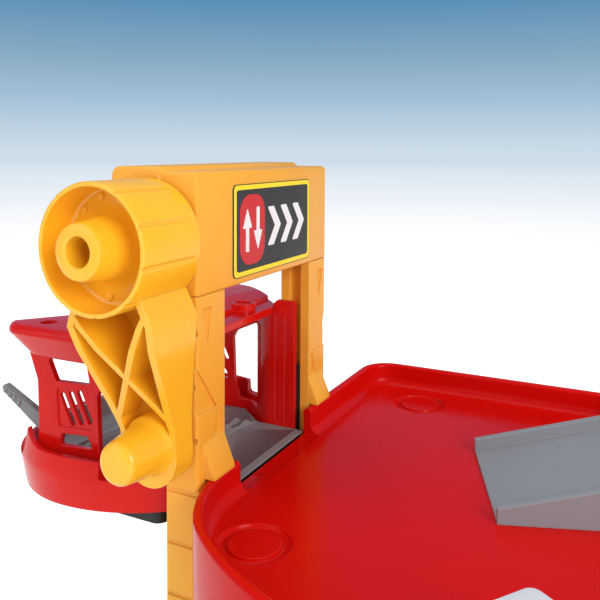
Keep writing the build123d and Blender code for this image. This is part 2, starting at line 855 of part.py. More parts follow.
# ---------------------------------------------------------------- lift tray
tray_x0 = -post_x - 2.2


def tray_plan():
    """Half outline of the tray, then its mirror: a boat with a blunt nose."""
    Line((tray_x0, 38), (tray_x0, -38))
    ThreePointArc((tray_x0, -38), (-26, -48.6), (-46, -52.6))
    ThreePointArc((-46, -52.6), (-72, -44.5), (-86.5, -24))
    ThreePointArc((-86.5, -24), (tray_nose_x, 0), (-86.5, 24))
    ThreePointArc((-86.5, 24), (-72, 44.5), (-46, 52.6))
    ThreePointArc((-46, 52.6), (-26, 48.6), (tray_x0, 38))


with BuildSketch() as tray_outline:
    with BuildLine():
        tray_plan()
    make_face()

with BuildPart() as lift_tray:
    for end in (tray_horn, tray_bottom):
        with BuildSketch(Plane.XY.offset(deck_z + tray_crease)):
            add(tray_outline.sketch)
        with BuildSketch(Plane.XY.offset(deck_z + end)):
            add(tray_outline.sketch)
            offset(amount=-tray_lean, mode=Mode.REPLACE)
        loft(ruled=True)
    # open tray above the floor
    with BuildSketch(Plane.XY.offset(deck_z + tray_floor)):
        add(tray_outline.sketch)
        offset(amount=-tray_wall, mode=Mode.REPLACE)
        with Locations((tray_x0, 0)):
            Rectangle(3 * tray_wall, 2 * (side_y_in + 0.4))
    extrude(amount=40, mode=Mode.SUBTRACT)
    # hollow underside
    with BuildSketch(Plane.XY.offset(deck_z + tray_bottom)):
        add(tray_outline.sketch)
        offset(amount=-tray_wall, mode=Mode.REPLACE)
    extrude(amount=tray_floor - tray_skin - tray_bottom, mode=Mode.SUBTRACT)
    # sheer line: level sides, an upswept horn, then the low nose
    with BuildSketch(Plane.XZ):
        with BuildLine():
            Polyline((10, deck_z + 30), (10, deck_z + tray_rim), (-54, deck_z + tray_rim))
            ThreePointArc(
                (-54, deck_z + tray_rim),
                (-62, deck_z + tray_rim + 0.9),
                (-67.6, deck_z + tray_horn),
            )
            Line((-67.6, deck_z + tray_horn), (-68.6, deck_z + 6))
            ThreePointArc(
                (-68.6, deck_z + 6),
                (-70, deck_z + 4.2),
                (-73, deck_z + tray_nose_rim),
            )
            Polyline(
                (-73, deck_z + tray_nose_rim),
                (-100, deck_z + tray_nose_rim),
                (-100, deck_z + 30),
                (10, deck_z + 30),
            )
        make_face()
    extrude(amount=70, both=True, mode=Mode.SUBTRACT)
save(lift_tray, "lift_tray")

# ---------------------------------------------------------------- cabin sides
side_low = deck_z + tray_floor
lug_low = deck_z - 6.0


def cabin_side(side):
    """A side wall with its windows, louvres and door post; side is -1 near, +1 far."""
    inner = side * (side_y_in - side_t / 2)
    with BuildPart() as panel:
        with BuildSketch(Plane.XY.offset(lug_low)):
            with BuildLine() as path:
                FilletPolyline(
                    (1, inner),
                    (-13, inner),
                    (-27, side * (side_y_out - 1.5)),
                    (-72, side * side_y_out),
                    radius=8,
                )
            trace(path.line, side_t)
        extrude(amount=deck_z + roof_top - lug_low)
        # outline seen from the side
        with BuildSketch(Plane.XZ):
            with BuildLine():
                Polyline(
                    (2, lug_low),
                    (2, deck_z + roof_low - roof_skin),
                    (-14, deck_z + roof_low - roof_skin),
                    (-14, deck_z + roof_top - roof_skin),
                    (-66, deck_z + roof_top - roof_skin),
                    (-67.8, deck_z + 41),
                    (-63, deck_z + 32),
                    (-62.5, deck_z + 17),
                    (-63.8, side_low),
                    (tray_x0 + 0.4, side_low),
                    (tray_x0 + 0.4, lug_low),
                    close=True,
                )
            make_face()
        extrude(amount=60, both=True, mode=Mode.INTERSECT)
        # openings
        with BuildSketch(Plane.XZ) as holes:
            with BuildLine():
                Polyline(
                    (-18.4, deck_z + 40.5),
                    (-34.5, deck_z + 34.5),
                    (-37.6, deck_z + 30),
                    (-36.4, deck_z + 21),
                    (-31, deck_z + 4),
                    (-18.4, deck_z + 4),
                    close=True,
                )
            make_face()
            with BuildLine():
                Polyline(
                    (-58.6, deck_z + 39.6),
                    (-42.5, deck_z + 39.6),
                    (-41.5, deck_z + 33),
                    (-55.3, deck_z + 32),
                    close=True,
                )
            make_face()
            with BuildLine():
                Polyline(
                    (-53.5, deck_z + 14),
                    (-38.2, deck_z + 14.4),
                    (-36.4, deck_z + 10.4),
                    (-54.3, deck_z + 10),
                    close=True,
                )
            make_face()
            fillet(holes.vertices(), 1)
            with Locations(*[(-50.8 + 3.9 * n, deck_z + 23) for n in range(3)]):
                SlotOverall(11.5, 1.5, rotation=-64)
            with Locations((tip_pin_x, deck_z + tip_pin_z)):
                Circle(pin_r + fit)
        extrude(amount=60, both=True, mode=Mode.SUBTRACT)
        # recessed field round the louvres
        with BuildSketch(Plane.XZ.offset(-side * (side_y_out + side_t))):
            with BuildLine():
                Polyline(
                    (-55.2, deck_z + 29.6),
                    (-39.4, deck_z + 29.6),
                    (-37.6, deck_z + 16.4),
                    (-53.4, deck_z + 15.8),
                    close=True,
                )
            make_face()
        extrude(amount=side * (side_t - 0.4), mode=Mode.SUBTRACT)
        # flutes on the inner face of the door post
        with BuildSketch(Plane.XY.offset(deck_z + 2)):
            with Locations(*[(-3 - 4.4 * n, side * (side_y_in - side_t)) for n in range(3)]):
                Circle(0.8)
        extrude(amount=roof_low - 8, mode=Mode.SUBTRACT)
    return panel


near_side = cabin_side(-1)
save(near_side, "cabin_near_side")
far_side = cabin_side(1)
save(far_side, "cabin_far_side")

# ---------------------------------------------------------------- cabin roof
roof_y = 52.0
with BuildSketch() as roof_plan:
    with BuildLine():
        for side in (-1, 1):
            Line((1, 0), (1, side * side_y_in))
            Line((1, side * side_y_in), (-9, side * side_y_in))
            ThreePointArc((-9, side * side_y_in), (-24, side * 46), (-46, side * roof_y))
            Line((-46, side * roof_y), (-66, side * roof_y))
            ThreePointArc((-66, side * roof_y), (-72.2, side * 50), (-75, side * 46))
            Line((-75, side * 46), (-61.5, side * 28.7))
            Line((-61.5, side * 28.7), (-61.5, 0))
    make_face()

with BuildPart() as cabin_roof:
    add(roof_plan.sketch.moved(Location((0, 0, deck_z + roof_bottom))))
    extrude(amount=roof_top - roof_bottom)
    # lower strip beside the tower
    with BuildSketch(Plane.XZ):
        with BuildLine():
            Polyline(
                (-10, deck_z + roof_low),
                (5, deck_z + roof_low),
                (5, deck_z + roof_top + 5),
                (-12, deck_z + roof_top + 5),
                (-12, deck_z + roof_top),
                close=True,
            )
        make_face()
    extrude(amount=60, both=True, mode=Mode.SUBTRACT)
    fillet(cabin_roof.faces().sort_by(Axis.Z)[-1].edges().group_by(Axis.X)[:-1], 2.4)
    # hollow underside
    with BuildSketch(Plane.XY.offset(deck_z + roof_bottom)):
        add(roof_plan.sketch)
        offset(amount=-roof_skin, mode=Mode.REPLACE)
        with Locations((-4, 0)):
            Rectangle(18, 80, mode=Mode.SUBTRACT)
    extrude(amount=roof_top - roof_bottom - roof_skin, mode=Mode.SUBTRACT)
    with BuildSketch(Plane.XZ):
        with BuildLine():
            Polyline(
                (-14, deck_z + roof_bottom - 1),
                (5, deck_z + roof_bottom - 1),
                (5, deck_z + roof_low - roof_skin),
                (-14, deck_z + roof_low - roof_skin),
                close=True,
            )
        make_face()
    extrude(amount=60, both=True, mode=Mode.SUBTRACT)
    # ring on top, with the anchor holes of the hoist cords
    with BuildSketch(Plane.XY.offset(deck_z + roof_top)):
        with Locations((-26, 0)):
            Circle(6)
            Circle(4.2, mode=Mode.SUBTRACT)
    extrude(amount=1.4)
    with BuildSketch(Plane.XY.offset(deck_z + roof_top)):
        with Locations((cord_slot_x, spool_y), (cord_slot_x, -spool_y)):
            Circle(1)
    extrude(amount=-2 * roof_skin, mode=Mode.SUBTRACT)
    with BuildSketch(Plane.XY.offset(deck_z + roof_top)):
        with Locations((-58.5, 43.5), (-58.5, -43.5)):
            Circle(3.2)
    extrude(amount=-0.8, mode=Mode.SUBTRACT)
save(cabin_roof, "cabin_roof")

# ---------------------------------------------------------------- carriage and guide shoes
carriage_y = 36.0
carriage_top = deck_z + tray_floor - tray_skin
carriage_x0 = -52.0
with BuildPart() as carriage:
    with BuildSketch(Plane.XY.offset(deck_z + carriage_bottom)):
        with Locations(((carriage_x0 - 16) / 2, 0)):
            RectangleRounded(-16 - carriage_x0, 2 * carriage_y, 4)
    extrude(amount=carriage_top - deck_z - carriage_bottom)
    with BuildSketch(Plane.XY.offset(deck_z + carriage_bottom)):
        with Locations(((carriage_x0 + 4) / 2, 0)):
            Rectangle(4 - carriage_x0, 2 * (side_y_in - 0.1))
    extrude(amount=tray_bottom - carriage_bottom)
    with BuildSketch(Plane.XY.offset(deck_z + carriage_bottom)):
        with Locations((-27, 0)):
            with GridLocations(18, 29, 3, 2):
                RectangleRounded(15.5, 26.5, 2)
    extrude(amount=5.4, mode=Mode.SUBTRACT)
save(carriage, "carriage")


def guide_shoe(side):
    """Slider on the cabin's side that runs in the post's groove."""
    with BuildPart() as shoe:
        with BuildSketch(Plane.XY.offset(deck_z + carriage_bottom)):
            with Locations((0, side * (side_y_in + (groove_d + 0.1) / 2))):
                Rectangle(groove_w - 2 * clear, groove_d + 0.1)
        extrude(amount=shoe_h)
        with BuildSketch(Plane.YZ.offset(-groove_w)):
            with Locations((side * (side_y_in + groove_d + 0.1), deck_z + carriage_bottom)):
                Rectangle(3, 3, rotation=45)
            with Locations((side * (side_y_in + groove_d + 0.1), deck_z + carriage_bottom + shoe_h)):
                Rectangle(3, 3, rotation=45)
        extrude(amount=2 * groove_w, mode=Mode.SUBTRACT)
    return shoe


near_shoe = guide_shoe(-1)
save(near_shoe, "near_shoe")
far_shoe = guide_shoe(1)
save(far_shoe, "far_shoe")

# ---------------------------------------------------------------- tipping floor
lever_y = -25.6
lever_t = 3.0
lever_tip = (-101.0, 18.0)
tip_wide = 39.5         # half width of the tipping floor behind the posts
with BuildPart() as tipping_floor:
    # floor with its end wall
    with BuildSketch(Plane.XZ):
        with BuildLine():
            Polyline(
                (tip_front, deck_z),
                (tip_back, deck_z),
                (tip_back - 0.4, deck_z + tip_wall_h - 2),
                (tip_back - 1.8, deck_z + tip_wall_h - 2),
                (tip_back - 1.8, deck_z - tip_t),
                (tip_front - 1.4, deck_z - tip_t),
                close=True,
            )
        make_face()
    extrude(amount=tip_wide, both=True)
    with BuildSketch(Plane.XY.offset(deck_z - 10)) as tip_plan:
        with BuildLine():
            Polyline(
                (tip_front, tip_half),
                (-16, tip_half),
                (-28.2, tip_wide),
                (-66, tip_wide),
                (tip_back - 2.2, 27.5),
                (tip_back - 2.2, -27.5),
                (-66, -tip_wide),
                (-28.2, -tip_wide),
                (-16, -tip_half),
                (tip_front, -tip_half),
                close=True,
            )
        make_face()
        fillet(tip_plan.vertices().sort_by(Axis.X)[:-2], 2)
    extrude(amount=40, mode=Mode.INTERSECT)
    # hinge barrel
    with BuildSketch(Plane.XZ):
        with Locations((tip_pin_x, deck_z + tip_pin_z)):
            Circle(2.8)
    extrude(amount=tip_half, both=True)
    # lever
    with BuildSketch(Plane.XZ.offset(-lever_y)):
        with BuildLine():
            Polyline(
                (tip_back - 1, deck_z + 1),
                (tip_back - 1, deck_z + tip_wall_h + 1),
                (lever_tip[0] + 1, deck_z + lever_tip[1] + 1.3),
                (lever_tip[0], deck_z + lever_tip[1]),
                (lever_tip[0] + 1, deck_z + lever_tip[1] - 1.6),
                (tip_back - 1.8, deck_z + 4),
                (tip_back - 1.8, deck_z + 1),
                close=True,
            )
        make_face()
    extrude(amount=lever_t / 2, both=True)
    # tread ribs
    with BuildSketch(Plane.XY.offset(deck_z)):
        for row in (-19.8, -24.6, -60, -64.8):
            with Locations((row, 22.6), (row, -22.6)):
                SlotOverall(10, 2, rotation=90)
    extrude(amount=0.7)
    # bore for the pin
    with BuildSketch(Plane.XZ):
        with Locations((tip_pin_x, deck_z + tip_pin_z)):
            Circle(pin_r + fit)
    extrude(amount=tip_half + 1, both=True, mode=Mode.SUBTRACT)
save(tipping_floor, "tipping_floor")

with BuildPart() as floor_pin:
    with BuildSketch(Plane.XZ):
        with Locations((tip_pin_x, deck_z + tip_pin_z)):
            Circle(pin_r)
    extrude(amount=side_y_in - 0.1, both=True)
save(floor_pin, "floor_pin")

# cord anchors under the roof
with BuildPart() as anchor_set:
    with Locations(*[(cord_slot_x, y, deck_z + roof_top - roof_skin) for y in (-spool_y, spool_y)]):
        Cylinder(3, 1.6, align=(Align.CENTER, Align.CENTER, Align.MAX))
        Cylinder(0.9, 6, mode=Mode.SUBTRACT)
save(anchor_set, "cord_anchors")
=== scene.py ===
import json
import math

import bmesh
import bpy
from mathutils import Matrix, Vector


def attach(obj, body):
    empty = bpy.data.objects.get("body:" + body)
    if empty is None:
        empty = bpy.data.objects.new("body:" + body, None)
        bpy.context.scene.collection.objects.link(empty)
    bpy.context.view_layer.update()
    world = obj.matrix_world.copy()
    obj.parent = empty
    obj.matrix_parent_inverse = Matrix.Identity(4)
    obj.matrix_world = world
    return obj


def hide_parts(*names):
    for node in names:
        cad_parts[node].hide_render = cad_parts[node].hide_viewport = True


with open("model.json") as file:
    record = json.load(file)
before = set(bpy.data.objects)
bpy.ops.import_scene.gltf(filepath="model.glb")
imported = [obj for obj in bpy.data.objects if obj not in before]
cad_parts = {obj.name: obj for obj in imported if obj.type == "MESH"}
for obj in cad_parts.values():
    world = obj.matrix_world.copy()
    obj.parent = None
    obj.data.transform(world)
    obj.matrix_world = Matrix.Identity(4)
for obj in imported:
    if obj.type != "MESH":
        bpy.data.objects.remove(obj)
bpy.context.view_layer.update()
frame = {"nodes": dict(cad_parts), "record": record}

MM = 0.001


def srgb(red, green, blue, alpha=1.0):
    """Linear colour from the 0 to 255 values of a screen colour."""
    linear = []
    for value in (red, green, blue):
        part = value / 255
        linear.append(part / 12.92 if part <= 0.04045 else ((part + 0.055) / 1.055) ** 2.4)
    return (*linear, alpha)


# ------------------------------------------------------------------ camera
PICTURE_SIDE = 600                      # pixels
SENSOR = 36.0                           # mm
CAMERA_SPOT = Vector((132.0, -230.0, 220.9)) * MM
CAMERA_YAW = math.radians(26.43)        # from +Y towards -X
CAMERA_PITCH = math.radians(3.31)       # downwards
CAMERA_ROLL = math.radians(0.29)
FOCAL = 728.7                           # pixels
RISE = -110.0                           # pixels that the lens is shifted


def add_camera():
    """The photograph's view: nearly level, with the lens shifted down."""
    lens = bpy.data.cameras.new("camera")
    lens.sensor_width = SENSOR
    lens.lens = FOCAL * SENSOR / PICTURE_SIDE
    lens.shift_y = RISE / PICTURE_SIDE
    lens.clip_start = 0.01
    lens.clip_end = 200.0
    ahead = Vector((
        -math.sin(CAMERA_YAW) * math.cos(CAMERA_PITCH),
        math.cos(CAMERA_YAW) * math.cos(CAMERA_PITCH),
        -math.sin(CAMERA_PITCH),
    ))
    level = Vector((math.cos(CAMERA_YAW), math.sin(CAMERA_YAW), 0))
    upward = level.cross(ahead)
    right = level * math.cos(CAMERA_ROLL) + upward * math.sin(CAMERA_ROLL)
    up = right.cross(ahead)
    camera = bpy.data.objects.new("camera", lens)
    turned = Matrix((right, up, -ahead)).transposed().to_4x4()
    camera.matrix_world = Matrix.Translation(CAMERA_SPOT) @ turned
    bpy.context.scene.collection.objects.link(camera)
    bpy.context.scene.camera = camera


# ------------------------------------------------------------------ node helpers
def new_material(name):
    """An empty node material and its tree."""
    material = bpy.data.materials.new(name)
    material.use_nodes = True
    material.node_tree.nodes.clear()
    return material, material.node_tree


def add_node(tree, kind, inputs=(), **settings):
    """A node with its settings, and its inputs linked to sockets or set to values."""
    node = tree.nodes.new(kind)
    for key, value in settings.items():
        setattr(node, key, value)
    for key, value in dict(inputs).items():
        if isinstance(value, bpy.types.NodeSocket):
            tree.links.new(value, node.inputs[key])
        else:
            node.inputs[key].default_value = value
    return node


def noise(tree, place, scale, detail=3.0, rough=0.5):
    """Noise of a given number of waves per metre, as a 0 to 1 socket."""
    inputs = {"Vector": place, "Scale": scale, "Detail": detail, "Roughness": rough}
    return add_node(tree, "ShaderNodeTexNoise", inputs).outputs["Fac"]


def spread(tree, value, low, high, to_low, to_high):
    """Map a socket's low..high to another range, held at its ends."""
    inputs = {
        "Value": value, "From Min": low, "From Max": high, "To Min": to_low, "To Max": to_high,
    }
    return add_node(tree, "ShaderNodeMapRange", inputs, clamp=True).outputs["Result"]


def blend_colour(tree, amount, first, second, kind="MIX"):
    """Mix two colours, sockets or values, by a socket or value."""
    node = add_node(tree, "ShaderNodeMix", data_type="RGBA", blend_type=kind)
    sockets = {"Factor": node.inputs[0], "A": node.inputs[6], "B": node.inputs[7]}
    for key, value in (("Factor", amount), ("A", first), ("B", second)):
        if isinstance(value, bpy.types.NodeSocket):
            tree.links.new(value, sockets[key])
        else:
            sockets[key].default_value = value
    return node.outputs[2]


def math_node(tree, operation, first, second):
    """The result of a Math node on two values."""
    return add_node(tree, "ShaderNodeMath", {0: first, 1: second}, operation=operation).outputs[0]


def stretched(tree, place, along):
    """Coordinates squeezed along one axis, so that noise on them is drawn out there."""
    return add_node(tree, "ShaderNodeMapping", {"Vector": place, "Scale": along}).outputs["Vector"]


def bumped(tree, height, depth, normal=None):
    """The normal of a surface with relief of a given depth, mm."""
    inputs = {"Height": height, "Distance": depth * MM, "Strength": 1.0}
    if normal is not None:
        inputs["Normal"] = normal
    return add_node(tree, "ShaderNodeBump", inputs).outputs["Normal"]


def to_surface(tree, shader, kind="ShaderNodeOutputMaterial"):
    """Link a shader to the material's or world's output."""
    out = add_node(tree, kind)
    tree.links.new(shader.outputs[0], out.inputs["Surface"])


# ------------------------------------------------------------------ materials
def moulded(name, colour, deep, pale, rough,
            grain=0.010, edge=0.5, gloss=0.5, soft=0.0, reach=(1, 1, 1)):
    """Moulded plastic.

    colour: its general tone; deep: what it drifts to in patches; pale: what its sharp edges turn to,
    partly edge wear and partly a painted highlight.
    rough: roughness; grain: depth of the fine texture, mm; edge: radius seen on sharp edges, mm.
    gloss: level of the reflections; soft: share of the light that goes through the surface;
    reach: how far its red, green and blue go, in parts of 1.2 mm.
    """
    material, tree = new_material(name)
    place = add_node(tree, "ShaderNodeTexCoord").outputs["Object"]
    geometry = add_node(tree, "ShaderNodeNewGeometry")
    rounded = add_node(tree, "ShaderNodeBevel", {"Radius": edge * MM}, samples=6)
    turned = add_node(
        tree, "ShaderNodeVectorMath",
        {0: rounded.outputs["Normal"], 1: geometry.outputs["Normal"]}, operation="DOT_PRODUCT",
    ).outputs["Value"]
    # sharp edges turn pale: partly edge wear, partly a painted highlight of the light that the edges catch
    worn_and_lit_edges = spread(tree, turned, 0.995, 0.90, 0.0, 1.0)
    patches = spread(tree, noise(tree, place, 38.0, 4.0, 0.6), 0.38, 0.66, 0.0, 1.0)
    worn_and_lit_edges = math_node(tree, "MULTIPLY", worn_and_lit_edges, spread(tree, patches, 0.0, 1.0, 0.25, 0.8))

    # slow drift of the tone, then drawn-out flow marks
    drift = spread(tree, noise(tree, place, 14.0, 2.0), 0.3, 0.7, 0.0, 0.55)
    flow_place = stretched(tree, place, (1.0, 1.0, 0.22))
    flow = spread(tree, noise(tree, flow_place, 120.0, 3.0, 0.55), 0.45, 0.75, 0.0, 0.35)
    tone = blend_colour(tree, drift, colour, deep)
    tone = blend_colour(tree, flow, tone, colour)
    # pale on sharp edges: partly edge wear, partly painted highlight
    tone = blend_colour(tree, worn_and_lit_edges, tone, pale)
    specks = spread(tree, noise(tree, place, 2600.0, 2.0), 0.66, 0.72, 0.0, 0.10)
    tone = blend_colour(tree, specks, tone, deep)

    # roughness: handled patches are duller, and fine scratches cross them
    smear = noise(tree, place, 60.0, 5.0, 0.65)
    scratch_place = stretched(tree, place, (1.0, 0.06, 1.0))
    scratches = spread(tree, noise(tree, scratch_place, 900.0, 2.0), 0.62, 0.70, 0.0, 0.04)
    smear = spread(tree, smear, 0.3, 0.7, rough - 0.05, rough + 0.09)
    dull = math_node(tree, "ADD", smear, scratches)

    # relief: fine grain over a very low ripple
    ripple = noise(tree, place, 70.0, 1.0)
    fine = noise(tree, place, 1500.0, 3.0, 0.6)
    low = bumped(tree, ripple, 0.05, rounded.outputs["Normal"])
    relief = bumped(tree, fine, grain, low)
    shader = add_node(
        tree, "ShaderNodeBsdfPrincipled",
        {
            "Base Color": tone,
            "Roughness": dull,
            "Normal": relief,
            "Specular IOR Level": gloss,
            "Subsurface Weight": soft,
            "Subsurface Radius": reach,
            "Subsurface Scale": 1.2 * MM,
        },
    )
    to_surface(tree, shader)
    return material


def zinc(name, colour, rough):
    """Plated or drawn steel with fine turned lines."""
    material, tree = new_material(name)
    place = add_node(tree, "ShaderNodeTexCoord").outputs["Object"]
    lines = noise(tree, stretched(tree, place, (1.0, 0.05, 1.0)), 1800.0, 2.0)
    cloud = noise(tree, place, 220.0, 3.0)
    clouded = spread(tree, cloud, 0.35, 0.7, 0.0, 0.35)
    shader = add_node(
        tree, "ShaderNodeBsdfPrincipled",
        {
            "Base Color": blend_colour(tree, clouded, colour, srgb(150, 152, 156)),
            "Metallic": 1.0,
            "Roughness": spread(tree, cloud, 0.3, 0.7, rough - 0.06, rough + 0.08),
            "Normal": bumped(tree, lines, 0.008),
        },
    )
    to_surface(tree, shader)
    return material


WARM = (1.0, 0.5, 0.15)                 # reach of light in the yellow plastic
FINISHES = {                            # by slot: maker, its colours and roughness, other settings
    "yellow_crank": (
        moulded, srgb(250, 190, 42), srgb(244, 164, 20), srgb(255, 218, 108), 0.20,
        {"grain": 0.006, "gloss": 0.45, "soft": 0.14, "reach": WARM},
    ),
    "yellow_post": (
        moulded, srgb(244, 176, 58), srgb(232, 152, 38), srgb(252, 206, 118), 0.34,
        {"gloss": 0.25, "soft": 0.08, "reach": WARM},
    ),
    "red_deck": (
        moulded, srgb(205, 12, 6), srgb(196, 7, 4), srgb(226, 50, 40), 0.17,
        {"grain": 0.002, "gloss": 0.10},
    ),
    "red_cabin": (
        moulded, srgb(212, 22, 16), srgb(204, 14, 11), srgb(230, 70, 66), 0.15,
        {"grain": 0.002, "gloss": 0.16},
    ),
    "grey_ramp": (
        moulded, srgb(140, 143, 149), srgb(128, 132, 138), srgb(178, 178, 182), 0.42,
        {"gloss": 0.25},
    ),
    "grey_light": (
        moulded, srgb(214, 217, 224), srgb(204, 208, 216), srgb(228, 229, 233), 0.38,
        {"gloss": 0.25},
    ),
    "grey_floor": (
        moulded, srgb(138, 136, 138), srgb(124, 122, 124), srgb(168, 168, 168), 0.45,
        {"gloss": 0.25},
    ),
    "black_plastic": (
        moulded, srgb(30, 33, 32), srgb(22, 24, 24), srgb(62, 64, 64), 0.38,
        {"grain": 0.014, "gloss": 0.3},
    ),
    "white_plastic": (
        moulded, srgb(226, 226, 220), srgb(214, 214, 206), srgb(240, 240, 236), 0.40, {},
    ),
    "sign_face": (
        moulded, srgb(50, 49, 49), srgb(42, 41, 41), srgb(66, 66, 66), 0.36,
        {"grain": 0.002, "edge": 0.1, "gloss": 0.2},
    ),
    "screw_steel": (zinc, srgb(190, 192, 196), 0.32, {}),
    "steel": (zinc, srgb(200, 201, 204), 0.24, {}),
}


def dress_nodes():
    """Give every CAD node the material of its slot."""
    made = {}
    for slot, (maker, *values, settings) in FINISHES.items():
        made[slot] = maker(slot, *values, **settings)
    for part in frame["record"]["subparts"]:
        mesh = frame["nodes"][part["node"]].data
        mesh.materials.clear()
        mesh.materials.append(made[part["material_slot"]])
    return made


# ------------------------------------------------------------------ mesh helpers
def solid_mesh(shape):
    """Mesh of a closed bmesh with its faces turned outwards."""
    bmesh.ops.recalc_face_normals(shape, faces=shape.faces)
    mesh = bpy.data.meshes.new("solid")
    shape.to_mesh(mesh)
    shape.free()
    return mesh


def prism(outline, low, high, place):
    """Solid of a closed outline between two depths; place(u, v, depth) gives a point, all in mm."""
    shape = bmesh.new()
    ends = [[shape.verts.new(place(u, v, depth) * MM) for u, v in outline] for depth in (low, high)]
    count = len(outline)
    for end in ends:
        shape.faces.new(end)
    for index in range(count):
        after = (index + 1) % count
        shape.faces.new((ends[0][index], ends[0][after], ends[1][after], ends[1][index]))
    return solid_mesh(shape)


def lathe(profile, place, steps=72, ring=False):
    """Solid of (radius, depth) points turned about the depth axis; a ring's profile is closed."""
    shape = bmesh.new()
    turns = [2 * math.pi * step / steps for step in range(steps)]
    rings = []
    for radius, depth in profile:
        if radius < 1e-6:
            rings.append([shape.verts.new(place(0, 0, depth) * MM)])
        else:
            spots = [place(radius * math.cos(turn), radius * math.sin(turn), depth) for turn in turns]
            rings.append([shape.verts.new(spot * MM) for spot in spots])
    for first, second in zip(rings, rings[1:] + (rings[:1] if ring else [])):
        for index in range(steps):
            corners = (
                first[index % len(first)], first[(index + 1) % steps % len(first)],
                second[(index + 1) % steps % len(second)], second[index % len(second)],
            )
            shape.faces.new(list(dict.fromkeys(corners)))
    return solid_mesh(shape)


def merged(meshes):
    """One mesh of several."""
    shape = bmesh.new()
    for mesh in meshes:
        shape.from_mesh(mesh)
    result = bpy.data.meshes.new("merged")
    shape.to_mesh(result)
    shape.free()
    return result


def combine(base, other, operation="DIFFERENCE"):
    """Boolean of two solid meshes, or of one and a list of separate ones."""
    if isinstance(other, list):
        other = merged(other)
    items = [bpy.data.objects.new("work", mesh) for mesh in (base, other)]
    for item in items:
        bpy.context.scene.collection.objects.link(item)
    step = items[0].modifiers.new("step", "BOOLEAN")
    step.operation = operation
    step.solver = "EXACT"
    step.object = items[1]
    bpy.context.view_layer.update()
    graph = bpy.context.evaluated_depsgraph_get()
    result = bpy.data.meshes.new_from_object(items[0].evaluated_get(graph))
    for item in items:
        bpy.data.objects.remove(item)
    return result


def bend(x, y, radius, angles):
    """Points of an arc at the given angles, in degrees."""
    turns = [math.radians(angle) for angle in angles]
    return [(x + radius * math.cos(turn), y + radius * math.sin(turn)) for turn in turns]


def arc(x, y, radius, start, end, steps=12):
    """Evenly spaced points of an arc, angles in degrees."""
    return bend(x, y, radius, [start + (end - start) * step / steps for step in range(steps + 1)])


def three_point(start, through, end, steps):
    """Points of the arc through three points."""
    (ax, ay), (bx, by), (cx, cy) = start, through, end
    d = 2 * (ax * (by - cy) + bx * (cy - ay) + cx * (ay - by))
    a, b, c = ax * ax + ay * ay, bx * bx + by * by, cx * cx + cy * cy
    x = (a * (by - cy) + b * (cy - ay) + c * (ay - by)) / d
    y = (a * (cx - bx) + b * (ax - cx) + c * (bx - ax)) / d
    first = math.atan2(ay - y, ax - x)
    turn = math.atan2(cy - y, cx - x) - first
    turn = (turn + math.pi) % (2 * math.pi) - math.pi
    radius = math.hypot(ax - x, ay - y)
    turns = [first + turn * step / steps for step in range(steps + 1)]
    return [(x + radius * math.cos(turn), y + radius * math.sin(turn)) for turn in turns]


def rounded_corner(before, corner, after, radius, steps):
    """Arc that rounds one corner of a polygon."""
    corner = Vector(corner)
    first = (Vector(before) - corner).normalized()
    second = (Vector(after) - corner).normalized()
    half = first.angle(second) / 2
    middle = corner + (first + second).normalized() * radius / math.sin(half)
    start = corner + first * radius / math.tan(half) - middle
    sweep = start.angle_signed(corner + second * radius / math.tan(half) - middle)
    points = []
    for step in range(steps + 1):
        points.append(tuple(middle + Matrix.Rotation(-sweep * step / steps, 2) @ start))
    return points


def rounded_outline(corners, radius, steps=6):
    """Closed polygon with every corner rounded."""
    points = []
    for index, corner in enumerate(corners):
        after = corners[(index + 1) % len(corners)]
        points += rounded_corner(corners[index - 1], corner, after, radius, steps)
    return points


def rectangle(width, height, centre=(0.0, 0.0)):
    """Corners of a rectangle, counter-clockwise."""
    x, y = centre
    return [
        (x - width / 2, y - height / 2), (x + width / 2, y - height / 2),
        (x + width / 2, y + height / 2), (x - width / 2, y + height / 2),
    ]


def bar(start, end, width):
    """Outline of a straight bar between two points."""
    start, end = Vector(start), Vector(end)
    run = (end - start).normalized() * width / 2
    side = Vector((-run.y, run.x))
    return [tuple(point) for point in (start + side, start - side, end - side, end + side)]


def ribbon(points, width):
    """Outline of a band of even width along an open line."""
    sides = ([], [])
    for index, here in enumerate(points):
        here = Vector(here)
        back = Vector(points[max(index - 1, 0)])
        on = Vector(points[min(index + 1, len(points) - 1)])
        run = (on - back).normalized()
        for side, way in zip(sides, (1, -1)):
            side.append(tuple(here + Vector((-run.y, run.x)) * way * width / 2))
    return sides[0] + sides[1][::-1]


def inset(outline, amount):
    """A counter-clockwise outline moved inwards, point for point."""
    points = []
    count = len(outline)
    for index in range(count):
        here = Vector(outline[index])
        first = (here - Vector(outline[index - 1])).normalized()
        second = (Vector(outline[(index + 1) % count]) - here).normalized()
        inward = Vector((-first.y - second.y, first.x + second.x)).normalized()
        half = inward.dot(Vector((-first.y, first.x)))
        points.append(tuple(here + inward * amount / half))
    return points


def flat(x, y, z):
    """Outline seen from above, its depth going up from the ground."""
    return Vector((x, y, z))


def on_deck(x, y, z):
    """Outline seen from above, its depth going up from the deck."""
    return Vector((x, y, DECK + z))


def from_side(x, z, y):
    """Outline seen from the side, its depth along Y."""
    return Vector((x, y, z))


def beside_deck(x, z, y):
    """Outline seen from the side with heights over the deck, its depth along Y."""
    return Vector((x, y, DECK + z))


def from_deck(y, z, x):
    """Outline seen from the deck, its depth along X."""
    return Vector((x, y, z))


def shifted(place, u0, v0):
    """The same placing, moved in the outline's plane."""
    return lambda u, v, depth: place(u + u0, v + v0, depth)


